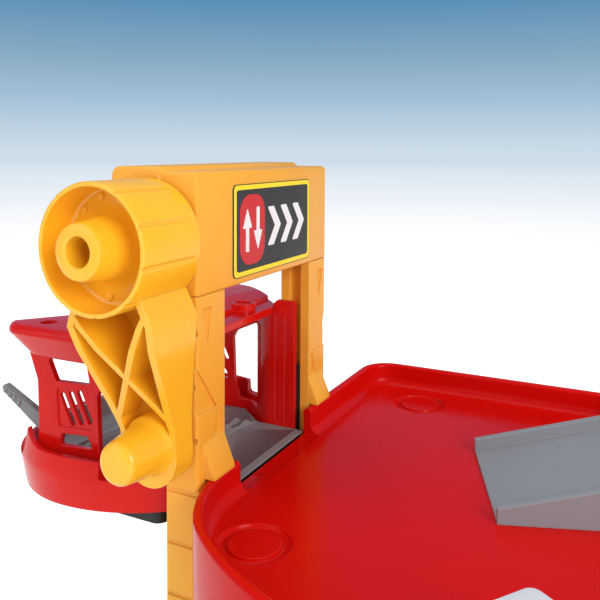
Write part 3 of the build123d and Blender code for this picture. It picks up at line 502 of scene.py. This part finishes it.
def stacked(rings, place):
    """Solid through (outline, depth) rings of equal point counts, closed at both ends."""
    shape = bmesh.new()
    layers = [[shape.verts.new(place(u, v, depth) * MM) for u, v in outline] for outline, depth in rings]
    count = len(layers[0])
    for first, second in zip(layers, layers[1:]):
        for index in range(count):
            after = (index + 1) % count
            shape.faces.new((first[index], first[after], second[after], second[index]))
    shape.faces.new(layers[0])
    shape.faces.new(layers[-1])
    return solid_mesh(shape)


def softened(mesh, width, segments=3):
    """A mesh with its sharp edges rounded."""
    item = bpy.data.objects.new("work", mesh)
    bpy.context.scene.collection.objects.link(item)
    step = item.modifiers.new("step", "BEVEL")
    step.width = width * MM
    step.segments = segments
    step.limit_method = "ANGLE"
    step.angle_limit = math.radians(35)
    bpy.context.view_layer.update()
    graph = bpy.context.evaluated_depsgraph_get()
    result = bpy.data.meshes.new_from_object(item.evaluated_get(graph))
    bpy.data.objects.remove(item)
    return result


def node_solid(node):
    """A copy of a CAD node's mesh with its seams welded."""
    shape = bmesh.new()
    shape.from_mesh(frame["nodes"][node].data)
    bmesh.ops.remove_doubles(shape, verts=shape.verts, dist=1e-6)
    return solid_mesh(shape)


def add_piece(name, mesh, body, material, node, smooth=32.0):
    """A finished piece in the place of a CAD node."""
    mesh.name = name
    mesh.materials.clear()
    mesh.materials.append(material)
    mesh.shade_smooth()
    mesh.set_sharp_from_angle(angle=math.radians(smooth))
    piece = bpy.data.objects.new(name, mesh)
    bpy.context.scene.collection.objects.link(piece)
    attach(piece, body)
    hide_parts(node)


# ------------------------------------------------------------------ places, mm
DECK = 107.0                            # height of the deck's floor
RIM = 10                                # the rim's height over the floor
COLUMN_SPOTS = [(30.0, -53.0), (38.0, 80.0), (108.0, 78.0), (148.0, -46.0)]
GATE_SPOT = (91.3, -92)                 # the swing gate's axis
AXLE_SPOT = (-10.5, 192.0)              # the crank's axis: X and Z
CORD_SPOTS = [(-17.5, -20), (-17.5, 20)]
POST_HALF = 6.25                        # half of a post's width along X
POST_INNER = 31.5                       # from the middle to a post's inner face
POST_OUTER = 47.0                       # and to its outer face
POST_FOOT = 4.0
HEAD_FOOT = 175.0                       # underside of the tower head
HEAD_TOP = 213.4                        # its top face, below the low step


# ------------------------------------------------------------------ crank
CRANK_BACK = -48.6                      # Y of its back
LEAN = math.radians(5.6)                # of the hanging arm
ARM_DEPTH = 22
ARM_FOOT = -64.4                        # middle of the arm's round end
KNOB = -61.8                            # middle of the knob


def on_crank(u, v, depth):
    """A point in front of the crank's back: u to the right, v up along the arm."""
    x = AXLE_SPOT[0] + u * math.cos(LEAN) - v * math.sin(LEAN)
    z = AXLE_SPOT[1] + u * math.sin(LEAN) + v * math.cos(LEAN)
    return Vector((x, CRANK_BACK - depth, z))


def both_sides(left, foot):
    """Outline of a left side, a foot, and the left side mirrored."""
    return left + foot + [(-u, v) for u, v in left[::-1]]


def hanging_arm():
    """Tapered tray with crossed ribs; its front slopes back towards the knob."""
    left = [(-12.5, -15), (-15.6, -22.5), (-13.2, -37), (-10.6, -53), (-10, -60)]
    outside = both_sides(left, arc(0, ARM_FOOT, 10, 180, 360, 24))
    left = [(-10.2, -15.2), (-13.3, -22.7), (-8.4, -52.9), (-8.35, -58.9)]
    inside = both_sides(left, arc(0, ARM_FOOT, 10, 146.6, 33.4, 12)[1:-1])
    arm = combine(prism(outside, 0, ARM_DEPTH, on_crank), prism(inside, 2.2, 40, on_crank))
    for side in (-1, 1):
        rib = bar((side * 13.3, -19.5), (-side * 9.0, -52.5), 1.8)
        arm = combine(arm, prism(rib, 1.0, ARM_DEPTH - 0.1, on_crank), "UNION")
    slope = [(-22.5, ARM_DEPTH), (-30, 20.2), (-48, 12.4), (-57, 9), (-90, 9), (-90, 40), (-22.5, 40)]
    arm = combine(arm, prism(slope, -30, 30, lambda v, depth, u: on_crank(u, v, depth)))
    # nothing of it reaches into the drum's dish
    return combine(arm, lathe([(0, -5), (18.6, -5), (18.6, 45), (0, 45)], on_crank, 96))


def add_crank(material):
    """Fluted drum with a dish and hub, a ribbed hanging arm and a knob: one moulding."""
    drum = [
        (0, 0), (18.9, 0), (19.4, 0.5), (19.4, 26.2), (19.2, 26.75), (18.8, 27), (18.2, 27),
        (17.9, 26.7), (17.75, 17.6), (17.4, 16.5), (16.6, 16), (13.2, 16), (11.4, 16.5),
        (10.2, 17.7), (9.35, 19.8), (8.2, 30.7), (7.9, 31.4), (7.2, 31.7), (4.9, 31.7),
        (4.4, 31.3), (4.4, 14), (0, 14),
    ]
    knob = [(0, 1), (9.2, 1), (9.2, 8.6), (8.9, 9.4), (8.3, 10.4), (7.95, 11.8), (7.7, 13.4), (6.6, 21.6)]
    knob += arc(4.15, 21.8, 2.4, 10, 90, 4) + [(0, 24.2)]
    mark = [(0, 15), (1.2, 15), (1.2, 16.6), (1.0, 16.8), (0, 16.8)]
    marks = [lathe(mark, shifted(on_crank, u, v), 20) for u, v in bend(0, 0, 15.2, (103, 133, 257, 291))]
    flutes = []
    for number, (u, v) in enumerate(arc(0, 0, 19.75, 18, 342, 9)):
        start = 22.0 if number in (6, 7, 8) else 2.5    # short over the arm
        flutes.append(prism(arc(u, v, 0.95, 0, 345, 23), start, 40, on_crank))
    crank = combine(lathe(drum, on_crank, 96), hanging_arm(), "UNION")
    crank = combine(crank, lathe(knob, shifted(on_crank, 0, KNOB), 64), "UNION")
    crank = combine(crank, marks, "UNION")
    crank = combine(crank, flutes)
    add_piece("crank_moulding", crank, "crank", material, "crank")


# ------------------------------------------------------------------ deck
def deck_outline():
    """The deck from above: straight edges and the big corner beside the tower."""
    left, near, far = 6.4, -96, 103
    near_end, far_end = (193.81, near), (121.38, far)
    bend_start = -35                    # Y at which the big corner starts
    tight = 48                          # its radius for the first 50 degrees, before the wide one
    turned = math.radians(50)
    turn_x = left + tight * (1 - math.cos(turned))
    turn_y = bend_start - tight * math.sin(turned)
    wide = (turn_y - near) / (1 - math.sin(turned))
    end_x = turn_x + wide * math.cos(turned)
    outline = rounded_corner((end_x, near), near_end, far_end, 45, 20)
    outline += rounded_corner(near_end, far_end, (left, far), 14, 12)
    outline += rounded_corner(far_end, (left, far), (left, bend_start), 14, 12)
    outline += arc(left + tight, bend_start, tight, 180, 230, 16)
    return outline + arc(end_x, near + wide, wide, 230, 270, 22)[1:]


def at_columns(profile, steps, ring=False):
    """A turned solid over each column."""
    return [lathe(profile, shifted(on_deck, x, y), steps, ring) for x, y in COLUMN_SPOTS]


def add_deck(material):
    """The deck's tray: a thin rim with a hollow foot, a skirt, sunk rings and a sill."""
    outline = deck_outline()
    lip = 1.5                           # radius of the rim's top edges
    section = [(2.2, -2.2), (2.2, -24), (0.4, -24), (0, -23.6), (0, RIM - lip)]
    section += bend(lip, RIM - lip, lip, (158, 135, 112, 90))
    section += bend(1.7, RIM - lip, lip, (90, 68, 45, 22, 0)) + arc(7.2, 4, 4, 180, 270, 5)
    deck = stacked([(inset(outline, inwards), z) for inwards, z in section], on_deck)
    boss = [(0, -2), (4.6, -2), (4.6, RIM - 0.5), (4.1, RIM), (0, RIM)]
    deck = combine(deck, lathe(boss, shifted(on_deck, *GATE_SPOT), 40), "UNION")

    # ribs under the floor
    strips = [rectangle(1.6, 168, (x, 5)) for x in (30, 70, 110)]
    strips += [rectangle(160, 1.6, (70, y)) for y in (-39, 5, 49)]
    ribs = prism(strips[0], -9, -2.1, on_deck)
    for strip in strips[1:]:
        ribs = combine(ribs, prism(strip, -9, -2.1, on_deck), "UNION")
    ribs = combine(ribs, prism(inset(outline, 1.1), -12, 0, on_deck), "INTERSECT")
    deck = combine(deck, ribs, "UNION")

    # sockets of the columns
    sleeve = [(0, -14.2), (10.15, -14.2), (10.15, -2.1), (0, -2.1)]
    deck = combine(deck, at_columns(sleeve, 48), "UNION")
    bore = [(0, -30), (7.95, -30), (7.95, -2.2), (0, -2.2)]
    deck = combine(deck, at_columns(bore, 48))

    # doorway towards the lift, its sill with a jog, and the sunk rings
    deck = combine(deck, prism(rectangle(16.4, 54, (6.4, 0)), 0, 20, on_deck))
    deck = combine(deck, prism(rectangle(8.8, 14, (6.4, -20)), -0.5, 5, on_deck))
    deck = combine(deck, prism(rectangle(13.8, 40, (6.4, 7)), -0.5, 5, on_deck))
    ring = [(7.5, 1), (11.5, 1), (11.1, -0.3), (10.4, -1.1), (9.6, -1.3), (8.6, -1.3), (8.1, -1.0)]
    deck = combine(deck, at_columns(ring, 64, True))
    add_piece("deck_moulding", deck, "garage", material, "deck", 25.0)


# ------------------------------------------------------------------ tower
def add_head(material):
    """Hollow beam over the posts: a low step on its top, soft edges and two moulding marks."""
    section = [(POST_HALF, HEAD_FOOT), (POST_HALF, HEAD_TOP - 2)]
    section += arc(POST_HALF - 2, HEAD_TOP - 2, 2, 0, 90, 5)[1:]
    section += [(-7, HEAD_TOP), (-8, HEAD_TOP + 1.4)]
    section += arc(-24, HEAD_TOP - 1.6, 3, 90, 180, 6) + [(-27, HEAD_FOOT)]
    head = softened(prism(section, -POST_OUTER, POST_OUTER, from_side), 1.1)
    inside = [(4.05, 170), (4.05, HEAD_TOP - 2.2), (-24.8, HEAD_TOP - 2.2), (-24.8, 170)]
    head = combine(head, prism(inside, -44.8, 44.8, from_side))
    hole = [(0, -60), (5.05, -60), (5.05, 60), (0, 60)]
    head = combine(head, lathe(hole, shifted(from_side, *AXLE_SPOT), 48))
    marks = [rectangle(1.1, 8, (x, HEAD_TOP - 5.4)) for x in (-19, -8.1)]
    marks = [softened(prism(mark, -47.5, -46.5, from_side), 0.3, 2) for mark in marks]
    head = combine(head, marks, "UNION")
    add_piece("head_moulding", head, "garage", material, "tower_head")


def add_post(name, side, material):
    """Post with block courses, sunk facets, the guide groove and a buttress on the rim."""
    soft = 1.2                          # radius of the outer edges
    edges = arc(POST_HALF - soft, POST_OUTER - soft, soft, 0, 90, 4)
    edges += arc(soft - POST_HALF, POST_OUTER - soft, soft, 90, 180, 4)
    plan = [(-POST_HALF, side * POST_INNER), (POST_HALF, side * POST_INNER)]
    post = prism(plan + [(x, side * y) for x, y in edges], POST_FOOT, HEAD_FOOT, flat)
    guide = rectangle(4.8, 6.8, (0, side * POST_INNER))
    post = combine(post, prism(guide, POST_FOOT - 1, HEAD_FOOT + 1, flat))
    courses = []
    bottom = POST_OUTER - (0.7 if side < 0 else 0.35)
    height = HEAD_FOOT - 11.3
    while height > POST_FOOT + 3:
        groove = [(bottom, height - 0.85), (POST_OUTER + 2, height - 1.1),
                  (POST_OUTER + 2, height + 1.1), (bottom, height + 0.85)]
        courses.append(prism([(side * y, z) for y, z in groove], -9, 9, from_deck))
        height -= 16.9
    post = combine(post, courses)
    facets = [
        [(50, 157), (50, 138), (36, 138)],
        [(35.5, 137), (38.5, 126.5), (33, 126.5), (33, 137)],
        [(44.5, 171), (39, 171), (41, 159)],
    ]
    for facet in facets:
        post = combine(post, prism([(side * y, z) for y, z in facet], POST_HALF - 0.9, 9, from_deck))
    foot = [(4.0, 10), (10.4, 10), (10.3, 11.4), (6.1, 21.6), (4.0, 21.6)]
    buttress = softened(prism(foot, side * 31.6, side * 43.8, beside_deck), 0.4, 2)
    post = combine(post, buttress, "UNION")
    add_piece(name + "_moulding", post, "garage", material, name)


def add_gate(material):
    """Flat swing arm with soft edges."""
    length, half, corner = 35.4, 4.6, 2.8
    turn = math.radians(54.5)

    def on_gate(u, v, depth):
        """A point over the arm's underside: u along it, v across it."""
        x = GATE_SPOT[0] + u * math.cos(turn) - v * math.sin(turn)
        y = GATE_SPOT[1] + u * math.sin(turn) + v * math.cos(turn)
        return Vector((x, y, DECK + RIM + 0.4 + depth))

    outline = arc(length - corner, half - corner, corner, 90, 0, 6)
    outline += arc(length - corner, corner - half, corner, 0, -90, 6)
    outline += arc(0, 0, half, -90, -270, 16)
    arm = softened(prism(outline, 0, 3.4, on_gate), 0.5)
    add_piece("gate_moulding", arm, "gate", material, "gate_arm")


# ------------------------------------------------------------------ cabin
def add_roof(material):
    """Roof with a leaning skirt, a low strip beside the tower and two rings for the cords."""
    edge = -9                           # X of the edge towards the tower
    half = three_point((edge, 31.1), (-24, 46), (-46, 52), 14)
    half += three_point((-64.7, 52), (-70.9, 50), (-73.7, 46), 4) + [(-60.5, 28.7)]
    outline = half + [(x, -y) for x, y in half[::-1]]

    def leaning(points, share):
        """The sides and nose moved in by a share of the skirt's lean."""
        moved = []
        for x, y in points:
            nose = min(max((-40 - x) / 33.7, 0), 1)
            moved.append((x + 6.2 * share * nose, y * (1 - 0.092 * share)))
        return moved

    def upright(points):
        """The edge towards the tower put back in its place."""
        return [(edge if x > edge - 0.05 else moved[0], moved[1])
                for (x, _), moved in zip(outline, points)]

    rings = [(leaning(outline, 1), 41.6), (outline, 49.6), (outline, 50.5)]
    for inwards, z in ((0.25, 51.3), (0.9, 52.1), (1.6, 52.42), (2.2, 52.5)):
        rings.append((upright(inset(outline, inwards)), z))
    roof = stacked(rings, on_deck)
    strip = [(-18, 49), (5, 49), (5, 60), (-32, 60), (-32, 52.5), (-18.4, 50.4)]
    roof = combine(roof, prism(strip, -60, 60, beside_deck))

    # hollow inside
    inner = inset(outline, 2.2)
    core = stacked([(leaning(inner, 1.15), 40.4), (inner, 49.2), (inner, 51.5)], on_deck)
    limit = [
        (-80, 39), (-80, 50.3), (-32, 50.3), (-21.5, 48.2), (-21.5, 46.8), (-11.2, 46.8), (-11.2, 39),
    ]
    core = combine(core, prism(limit, -60, 60, beside_deck), "INTERSECT")
    roof = combine(roof, core)
    roof = combine(roof, prism(rectangle(12, 68.2, (-10, 0)), 40, 46, on_deck))

    ring = [
        (0, 47.5), (5.2, 47.5), (5.0, 51.3), (4.6, 51.7), (3.7, 51.7), (3.4, 51.4), (3.4, 50.2), (0, 50.2),
    ]
    for x, y in CORD_SPOTS:
        roof = combine(roof, lathe(ring, shifted(on_deck, x, y), 40), "UNION")
    dent = [(0, 51.7), (3.0, 51.7), (3.3, 56), (0, 56)]
    dents = [lathe(dent, shifted(on_deck, -58.5, y), 36) for y in (-43.5, 43.5)]
    roof = combine(roof, dents)
    add_piece("roof_moulding", roof, "lift", material, "cabin_roof", 28.0)


def add_side(name, side, material):
    """Cabin side with its arch, windows, louvres and the fluted door post."""
    door, bend_in, bend_out, nose = (1, 30.1), (-13, 30.1), (-27, 43.4), (-72, 44)
    path = [door] + rounded_corner(door, bend_in, bend_out, 8, 6)
    path += rounded_corner(bend_in, bend_out, nose, 8, 6) + [nose]
    panel = prism([(x, side * y) for x, y in ribbon(path, 2.0)], -6, 52.5, on_deck)
    outline = [
        (2, -7), (2, 50.6), (0.8, 52), (-6.8, 52), (-8.7, 50.4), (-8.7, 46.8), (-21.5, 46.8),
        (-21.5, 48.2), (-32, 50.3), (-64.6, 50.3), (-64.6, 41.4), (-66.4, 41.4), (-62.8, 32),
        (-62.5, 17), (-63.8, -2), (-8, -2), (-8, -7),
    ]
    panel = combine(panel, prism(outline, -60, 60, beside_deck), "INTERSECT")
    openings = [
        [(-19.4, 40), (-34.4, 33.2), (-36.2, 30), (-35.6, 12), (-33, 3), (-19.4, 3)],
        [(-58.2, 40.4), (-40.6, 40.4), (-39.2, 33.4), (-54.4, 32.6)],
        [(-51.9, 14.6), (-40.4, 15.4), (-38, 11.2), (-53.2, 10.2)],
    ]
    cutters = [prism(rounded_outline(corners, 1.0, 3), -60, 60, beside_deck) for corners in openings]
    tilt = -63.4                        # of the louvres, degrees
    lean = Vector((math.cos(math.radians(tilt)), math.sin(math.radians(tilt))))
    for number in range(3):
        middle = Vector((-49.7 + 3.85 * number, 23.2 + 0.9 * number))
        louvre = arc(*(middle + lean * 5.0), 1.2, tilt - 90, tilt + 90, 8)
        louvre += arc(*(middle - lean * 5.0), 1.2, tilt + 90, tilt + 270, 8)
        cutters.append(prism(louvre, -60, 60, beside_deck))
    panel = combine(panel, cutters)
    field = rounded_outline([(-54.4, 30.2), (-38.6, 31.2), (-38, 17.8), (-53.8, 16.6)], 1.8, 4)
    panel = combine(panel, prism(field, side * 44.1, side * 60, beside_deck))
    flutes = [arc(x, side * y, 0.5, 0, 330, 11) for y in (31.3, 28.9) for x in (-3, -7.4)]
    panel = combine(panel, [prism(flute, 2, 46, on_deck) for flute in flutes])
    add_piece(name + "_moulding", panel, "lift", material, name)


def add_tray(material):
    """The lift's tray, its rim cut lower beside the sides' arches."""
    notch = rounded_outline([(-31.2, 4.4), (-19.2, 4.4), (-19.2, 40), (-31.2, 40)], 1.0)
    tray = combine(node_solid("lift_tray"), prism(notch, -70, 70, beside_deck))
    add_piece("tray_moulding", tray, "lift", material, "lift_tray", 30.0)


def add_tipping_floor(material):
    """The tipping floor with a longer lip and grips on its lever."""
    lip = [(2.0, 0), (5.5, 0), (5.4, -0.3), (4.1, -1.8), (2.0, -1.8)]
    floor = combine(node_solid("tipping_floor"), prism(lip, -28.7, 28.7, beside_deck), "UNION")
    lever_end, lever_root = Vector((-100.4, 18.0)), Vector((-79.9, 7.0))
    grips = []
    for share in (0.07, 0.19, 0.31, 0.43):
        middle = lever_end.lerp(lever_root, share)
        reach = Vector((-0.47, -0.88)) * (0.9 + 1.3 * share)
        grip = prism(bar(middle - reach, middle + reach, 1.3), -27.8, -26.6, beside_deck)
        grips.append(softened(grip, 0.35, 2))
    floor = combine(floor, grips, "UNION")
    add_piece("floor_moulding", floor, "tipping_floor", material, "tipping_floor", 30.0)


# ------------------------------------------------------------------ sign
SIGN_FACE = Vector((6.65, 2.0, 193.0))  # middle of the label's face, mm
SIGN_WIDE = 57.2
SIGN_TALL = 31.2
PRINT = 0.05                            # thickness of a printed layer, mm


def add_label(material):
    """The thin label that carries the sign."""
    outline = rounded_outline(rectangle(SIGN_WIDE, SIGN_TALL, (SIGN_FACE.y, SIGN_FACE.z)), 2.0)
    label = prism(outline, POST_HALF, SIGN_FACE.x, from_deck)
    add_piece("sign_label", label, "garage", material, "sign_plate")


def printed_piece(name, outlines, base, material):
    """A printed layer on the sign from closed outlines in mm; inner outlines are holes."""
    curve = bpy.data.curves.new(name, "CURVE")
    curve.dimensions = "2D"
    curve.fill_mode = "BOTH"
    curve.extrude = PRINT / 2 * MM
    for outline in outlines:
        spline = curve.splines.new("POLY")
        spline.points.add(len(outline) - 1)
        for point, (x, y) in zip(spline.points, outline):
            point.co = (x * MM, y * MM, 0, 1)
        spline.use_cyclic_u = True
    source = bpy.data.objects.new(name + "_curve", curve)
    bpy.context.scene.collection.objects.link(source)
    bpy.context.view_layer.update()
    graph = bpy.context.evaluated_depsgraph_get()
    mesh = bpy.data.meshes.new_from_object(source.evaluated_get(graph))
    bpy.data.objects.remove(source)
    bpy.data.curves.remove(curve)
    face = Matrix(((0, 0, 1), (1, 0, 0), (0, 1, 0))).to_4x4()
    spot = (SIGN_FACE + Vector((base + PRINT / 2, 0, 0))) * MM
    mesh.transform(Matrix.Translation(spot) @ face)
    mesh.materials.append(material)
    piece = bpy.data.objects.new(name, mesh)
    bpy.context.scene.collection.objects.link(piece)
    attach(piece, "garage")


def arrow(centre, length, width, up):
    """Corners of a plain arrow that points up (1) or down (-1)."""
    x, y = centre
    stem = width * 0.36
    tip = y + up * length / 2
    neck = tip - up * length * 0.46
    tail = y - up * length / 2
    points = [
        (x - stem / 2, tail), (x + stem / 2, tail), (x + stem / 2, neck), (x + width / 2, neck),
        (x, tip), (x - width / 2, neck), (x - stem / 2, neck),
    ]
    return points if up > 0 else points[::-1]


def chevron(left, width, height, depth):
    """Corners of a chevron on the middle line that points to the right."""
    half = height / 2
    return [
        (left, -half), (left + width, -half), (left + width + depth, 0),
        (left + width, half), (left, half), (left + depth, 0),
    ]


def flat_print(name, colour, deep, pale):
    """Printed film colour."""
    return moulded(name, colour, deep, pale, 0.34, grain=0.002, edge=0.05, gloss=0.2)


def add_sign_artwork():
    """Yellow border, a red tag with lift arrows and white chevrons: no lettering."""
    yellow = flat_print("print_yellow", srgb(250, 226, 44), srgb(242, 214, 34), srgb(250, 234, 90))
    red = flat_print("print_red", srgb(206, 42, 42), srgb(196, 34, 36), srgb(216, 66, 66))
    white = flat_print("print_white", srgb(240, 240, 240), srgb(230, 230, 232), srgb(248, 248, 248))
    dark = flat_print("print_dark", srgb(52, 40, 12), srgb(44, 32, 10), srgb(70, 60, 30))

    def edged(margin, radius):
        """Outline that keeps a margin from the label's edge."""
        return rounded_outline(rectangle(SIGN_WIDE - 2 * margin, SIGN_TALL - 2 * margin), radius)

    border = 1.85
    inner = edged(border, 1.2)
    printed_piece("sign_border", [edged(0.25, 1.8), inner], 0.0, yellow)
    printed_piece("sign_line", [inner, edged(border + 0.125, 1.1)], 0.0, dark)
    tag_x = -SIGN_WIDE / 2 + border + 10.6
    tag = rounded_outline(rectangle(17.0, 24.0, (tag_x, 0)), 6.5, 8)
    printed_piece("sign_tag", [tag], 0.0, red)
    for name, side, up in (("sign_arrow_up", -1, 1), ("sign_arrow_down", 1, -1)):
        outline = rounded_outline(arrow((tag_x + side * 3.6, 0), 15.0, 6.0, up), 0.3, 3)
        printed_piece(name, [outline], PRINT, white)
    for index in range(3):
        outline = rounded_outline(chevron(-5.6 + 9.6 * index, 4.6, 14.0, 5.4), 0.4, 3)
        printed_piece("sign_chevron_" + str(index + 1), [outline], 0.0, white)


# ------------------------------------------------------------------ floor, backdrop and light
SKY_TOP = 0.194                         # sine of the height at which SKY ends
FLOOR_END = 11.0                        # distance at which GROUND ends, metres
SKY = [                                 # by the sine of the height / SKY_TOP
    (0.00, srgb(203, 219, 232)),
    (0.05, srgb(198, 216, 230)),
    (0.34, srgb(164, 192, 215)),
    (0.62, srgb(133, 170, 196)),
    (1.00, srgb(90, 143, 182)),
]
GROUND = [                              # by the distance from the origin / FLOOR_END
    (0.00, srgb(255, 255, 255)),
    (0.15, srgb(255, 255, 255)),
    (0.27, srgb(236, 242, 249)),
    (0.42, srgb(225, 235, 243)),
    (1.00, srgb(206, 221, 233)),
]


def shade_stops(tree, amount, stops):
    """A colour ramp through the given stops."""
    ramp = add_node(tree, "ShaderNodeValToRGB", {"Fac": amount})
    elements = ramp.color_ramp.elements
    while len(elements) < len(stops):
        elements.new(0.5)
    for element, (spot, colour) in zip(elements, stops):
        element.position = spot
        element.color = colour
    return ramp.outputs["Color"]


def seen_directly(tree):
    """1 where the eye or a reflection looks, 0 for the light that a surface gathers."""
    ray = add_node(tree, "ShaderNodeLightPath")
    return math_node(tree, "MAXIMUM", ray.outputs["Is Camera Ray"], ray.outputs["Is Glossy Ray"])


def add_floor():
    """A pale floor that keeps the shadow near the object and fades into the backdrop far away."""
    reach = 60.0                        # metres
    mesh = bpy.data.meshes.new("floor")
    mesh.from_pydata(
        [(-reach, -reach, 0), (reach, -reach, 0), (reach, reach, 0), (-reach, reach, 0)],
        [], [(0, 1, 2, 3)],
    )
    floor = bpy.data.objects.new("floor", mesh)
    bpy.context.scene.collection.objects.link(floor)
    material, tree = new_material("floor")
    place = add_node(tree, "ShaderNodeTexCoord").outputs["Object"]
    away = add_node(tree, "ShaderNodeVectorMath", {0: place}, operation="LENGTH").outputs["Value"]
    tint = shade_stops(tree, spread(tree, away, 0.0, FLOOR_END, 0.0, 1.0), GROUND)
    mottled = spread(tree, noise(tree, place, 9.0, 3.0), 0.3, 0.7, 0.0, 0.04)
    near_tint = blend_colour(tree, mottled, tint, srgb(236, 238, 240))
    diffuse = add_node(tree, "ShaderNodeBsdfPrincipled", {"Base Color": near_tint, "Roughness": 0.7})
    glow = add_node(tree, "ShaderNodeEmission", {"Color": near_tint, "Strength": 0.42})
    both = add_node(tree, "ShaderNodeAddShader", {0: diffuse.outputs[0], 1: glow.outputs[0]})
    plain = add_node(tree, "ShaderNodeEmission", {"Color": tint, "Strength": 1.0})
    fade = spread(tree, away, 0.7, 1.6, 0.0, 1.0)
    shown = add_node(tree, "ShaderNodeMixShader", {0: fade, 1: both.outputs[0], 2: plain.outputs[0]})
    choose = {0: seen_directly(tree), 1: diffuse.outputs[0], 2: shown.outputs[0]}
    to_surface(tree, add_node(tree, "ShaderNodeMixShader", choose))
    mesh.materials.append(material)


def add_world():
    """Even light for the object; the eye and reflections see a pale blue rise."""
    world = bpy.data.worlds.new("studio")
    bpy.context.scene.world = world
    world.use_nodes = True
    tree = world.node_tree
    tree.nodes.clear()
    direction = add_node(tree, "ShaderNodeTexCoord").outputs["Generated"]
    height = add_node(tree, "ShaderNodeSeparateXYZ", {0: direction}).outputs["Z"]
    rise = shade_stops(tree, spread(tree, height, 0.0, SKY_TOP, 0.0, 1.0), SKY)
    seen = add_node(tree, "ShaderNodeBackground", {"Color": rise, "Strength": 1.0})
    even = add_node(tree, "ShaderNodeBackground", {"Color": srgb(250, 252, 255), "Strength": 0.52})
    choose = {0: seen_directly(tree), 1: even.outputs[0], 2: seen.outputs[0]}
    to_surface(tree, add_node(tree, "ShaderNodeMixShader", choose), "ShaderNodeOutputWorld")


def add_lamp(name, spot, target, size, power, colour):
    """A soft square lamp that looks at a point. Places in metres."""
    lamp = bpy.data.lights.new(name, "AREA")
    lamp.shape = "SQUARE"
    lamp.size = size
    lamp.energy = power
    lamp.color = colour[:3]
    item = bpy.data.objects.new(name, lamp)
    item.location = spot
    item.rotation_euler = (Vector(target) - Vector(spot)).to_track_quat("-Z", "Y").to_euler()
    bpy.context.scene.collection.objects.link(item)


def add_lights():
    """Key from the right in front, a weak fill from the left, and a little top light."""
    middle = (0.04, 0.0, 0.13)
    add_lamp("key", (1.45, -0.8, 0.85), middle, 0.9, 20.0, srgb(255, 251, 246))
    add_lamp("fill", (-0.8, -1.3, 0.8), middle, 1.2, 7.0, srgb(248, 251, 255))
    add_lamp("top", (-0.5, 0.1, 1.7), middle, 1.4, 8.0, srgb(255, 255, 255))


add_camera()
finishes = dress_nodes()
add_crank(finishes["yellow_crank"])
add_deck(finishes["red_deck"])
add_head(finishes["yellow_post"])
add_post("near_post", -1, finishes["yellow_post"])
add_post("far_post", 1, finishes["yellow_post"])
add_gate(finishes["grey_light"])
add_roof(finishes["red_cabin"])
add_side("cabin_near_side", -1, finishes["red_cabin"])
add_side("cabin_far_side", 1, finishes["red_cabin"])
add_tray(finishes["red_cabin"])
add_tipping_floor(finishes["grey_floor"])
add_label(finishes["sign_face"])
add_sign_artwork()
add_floor()
add_world()
add_lights()
bpy.context.scene.view_settings.view_transform = "Standard"
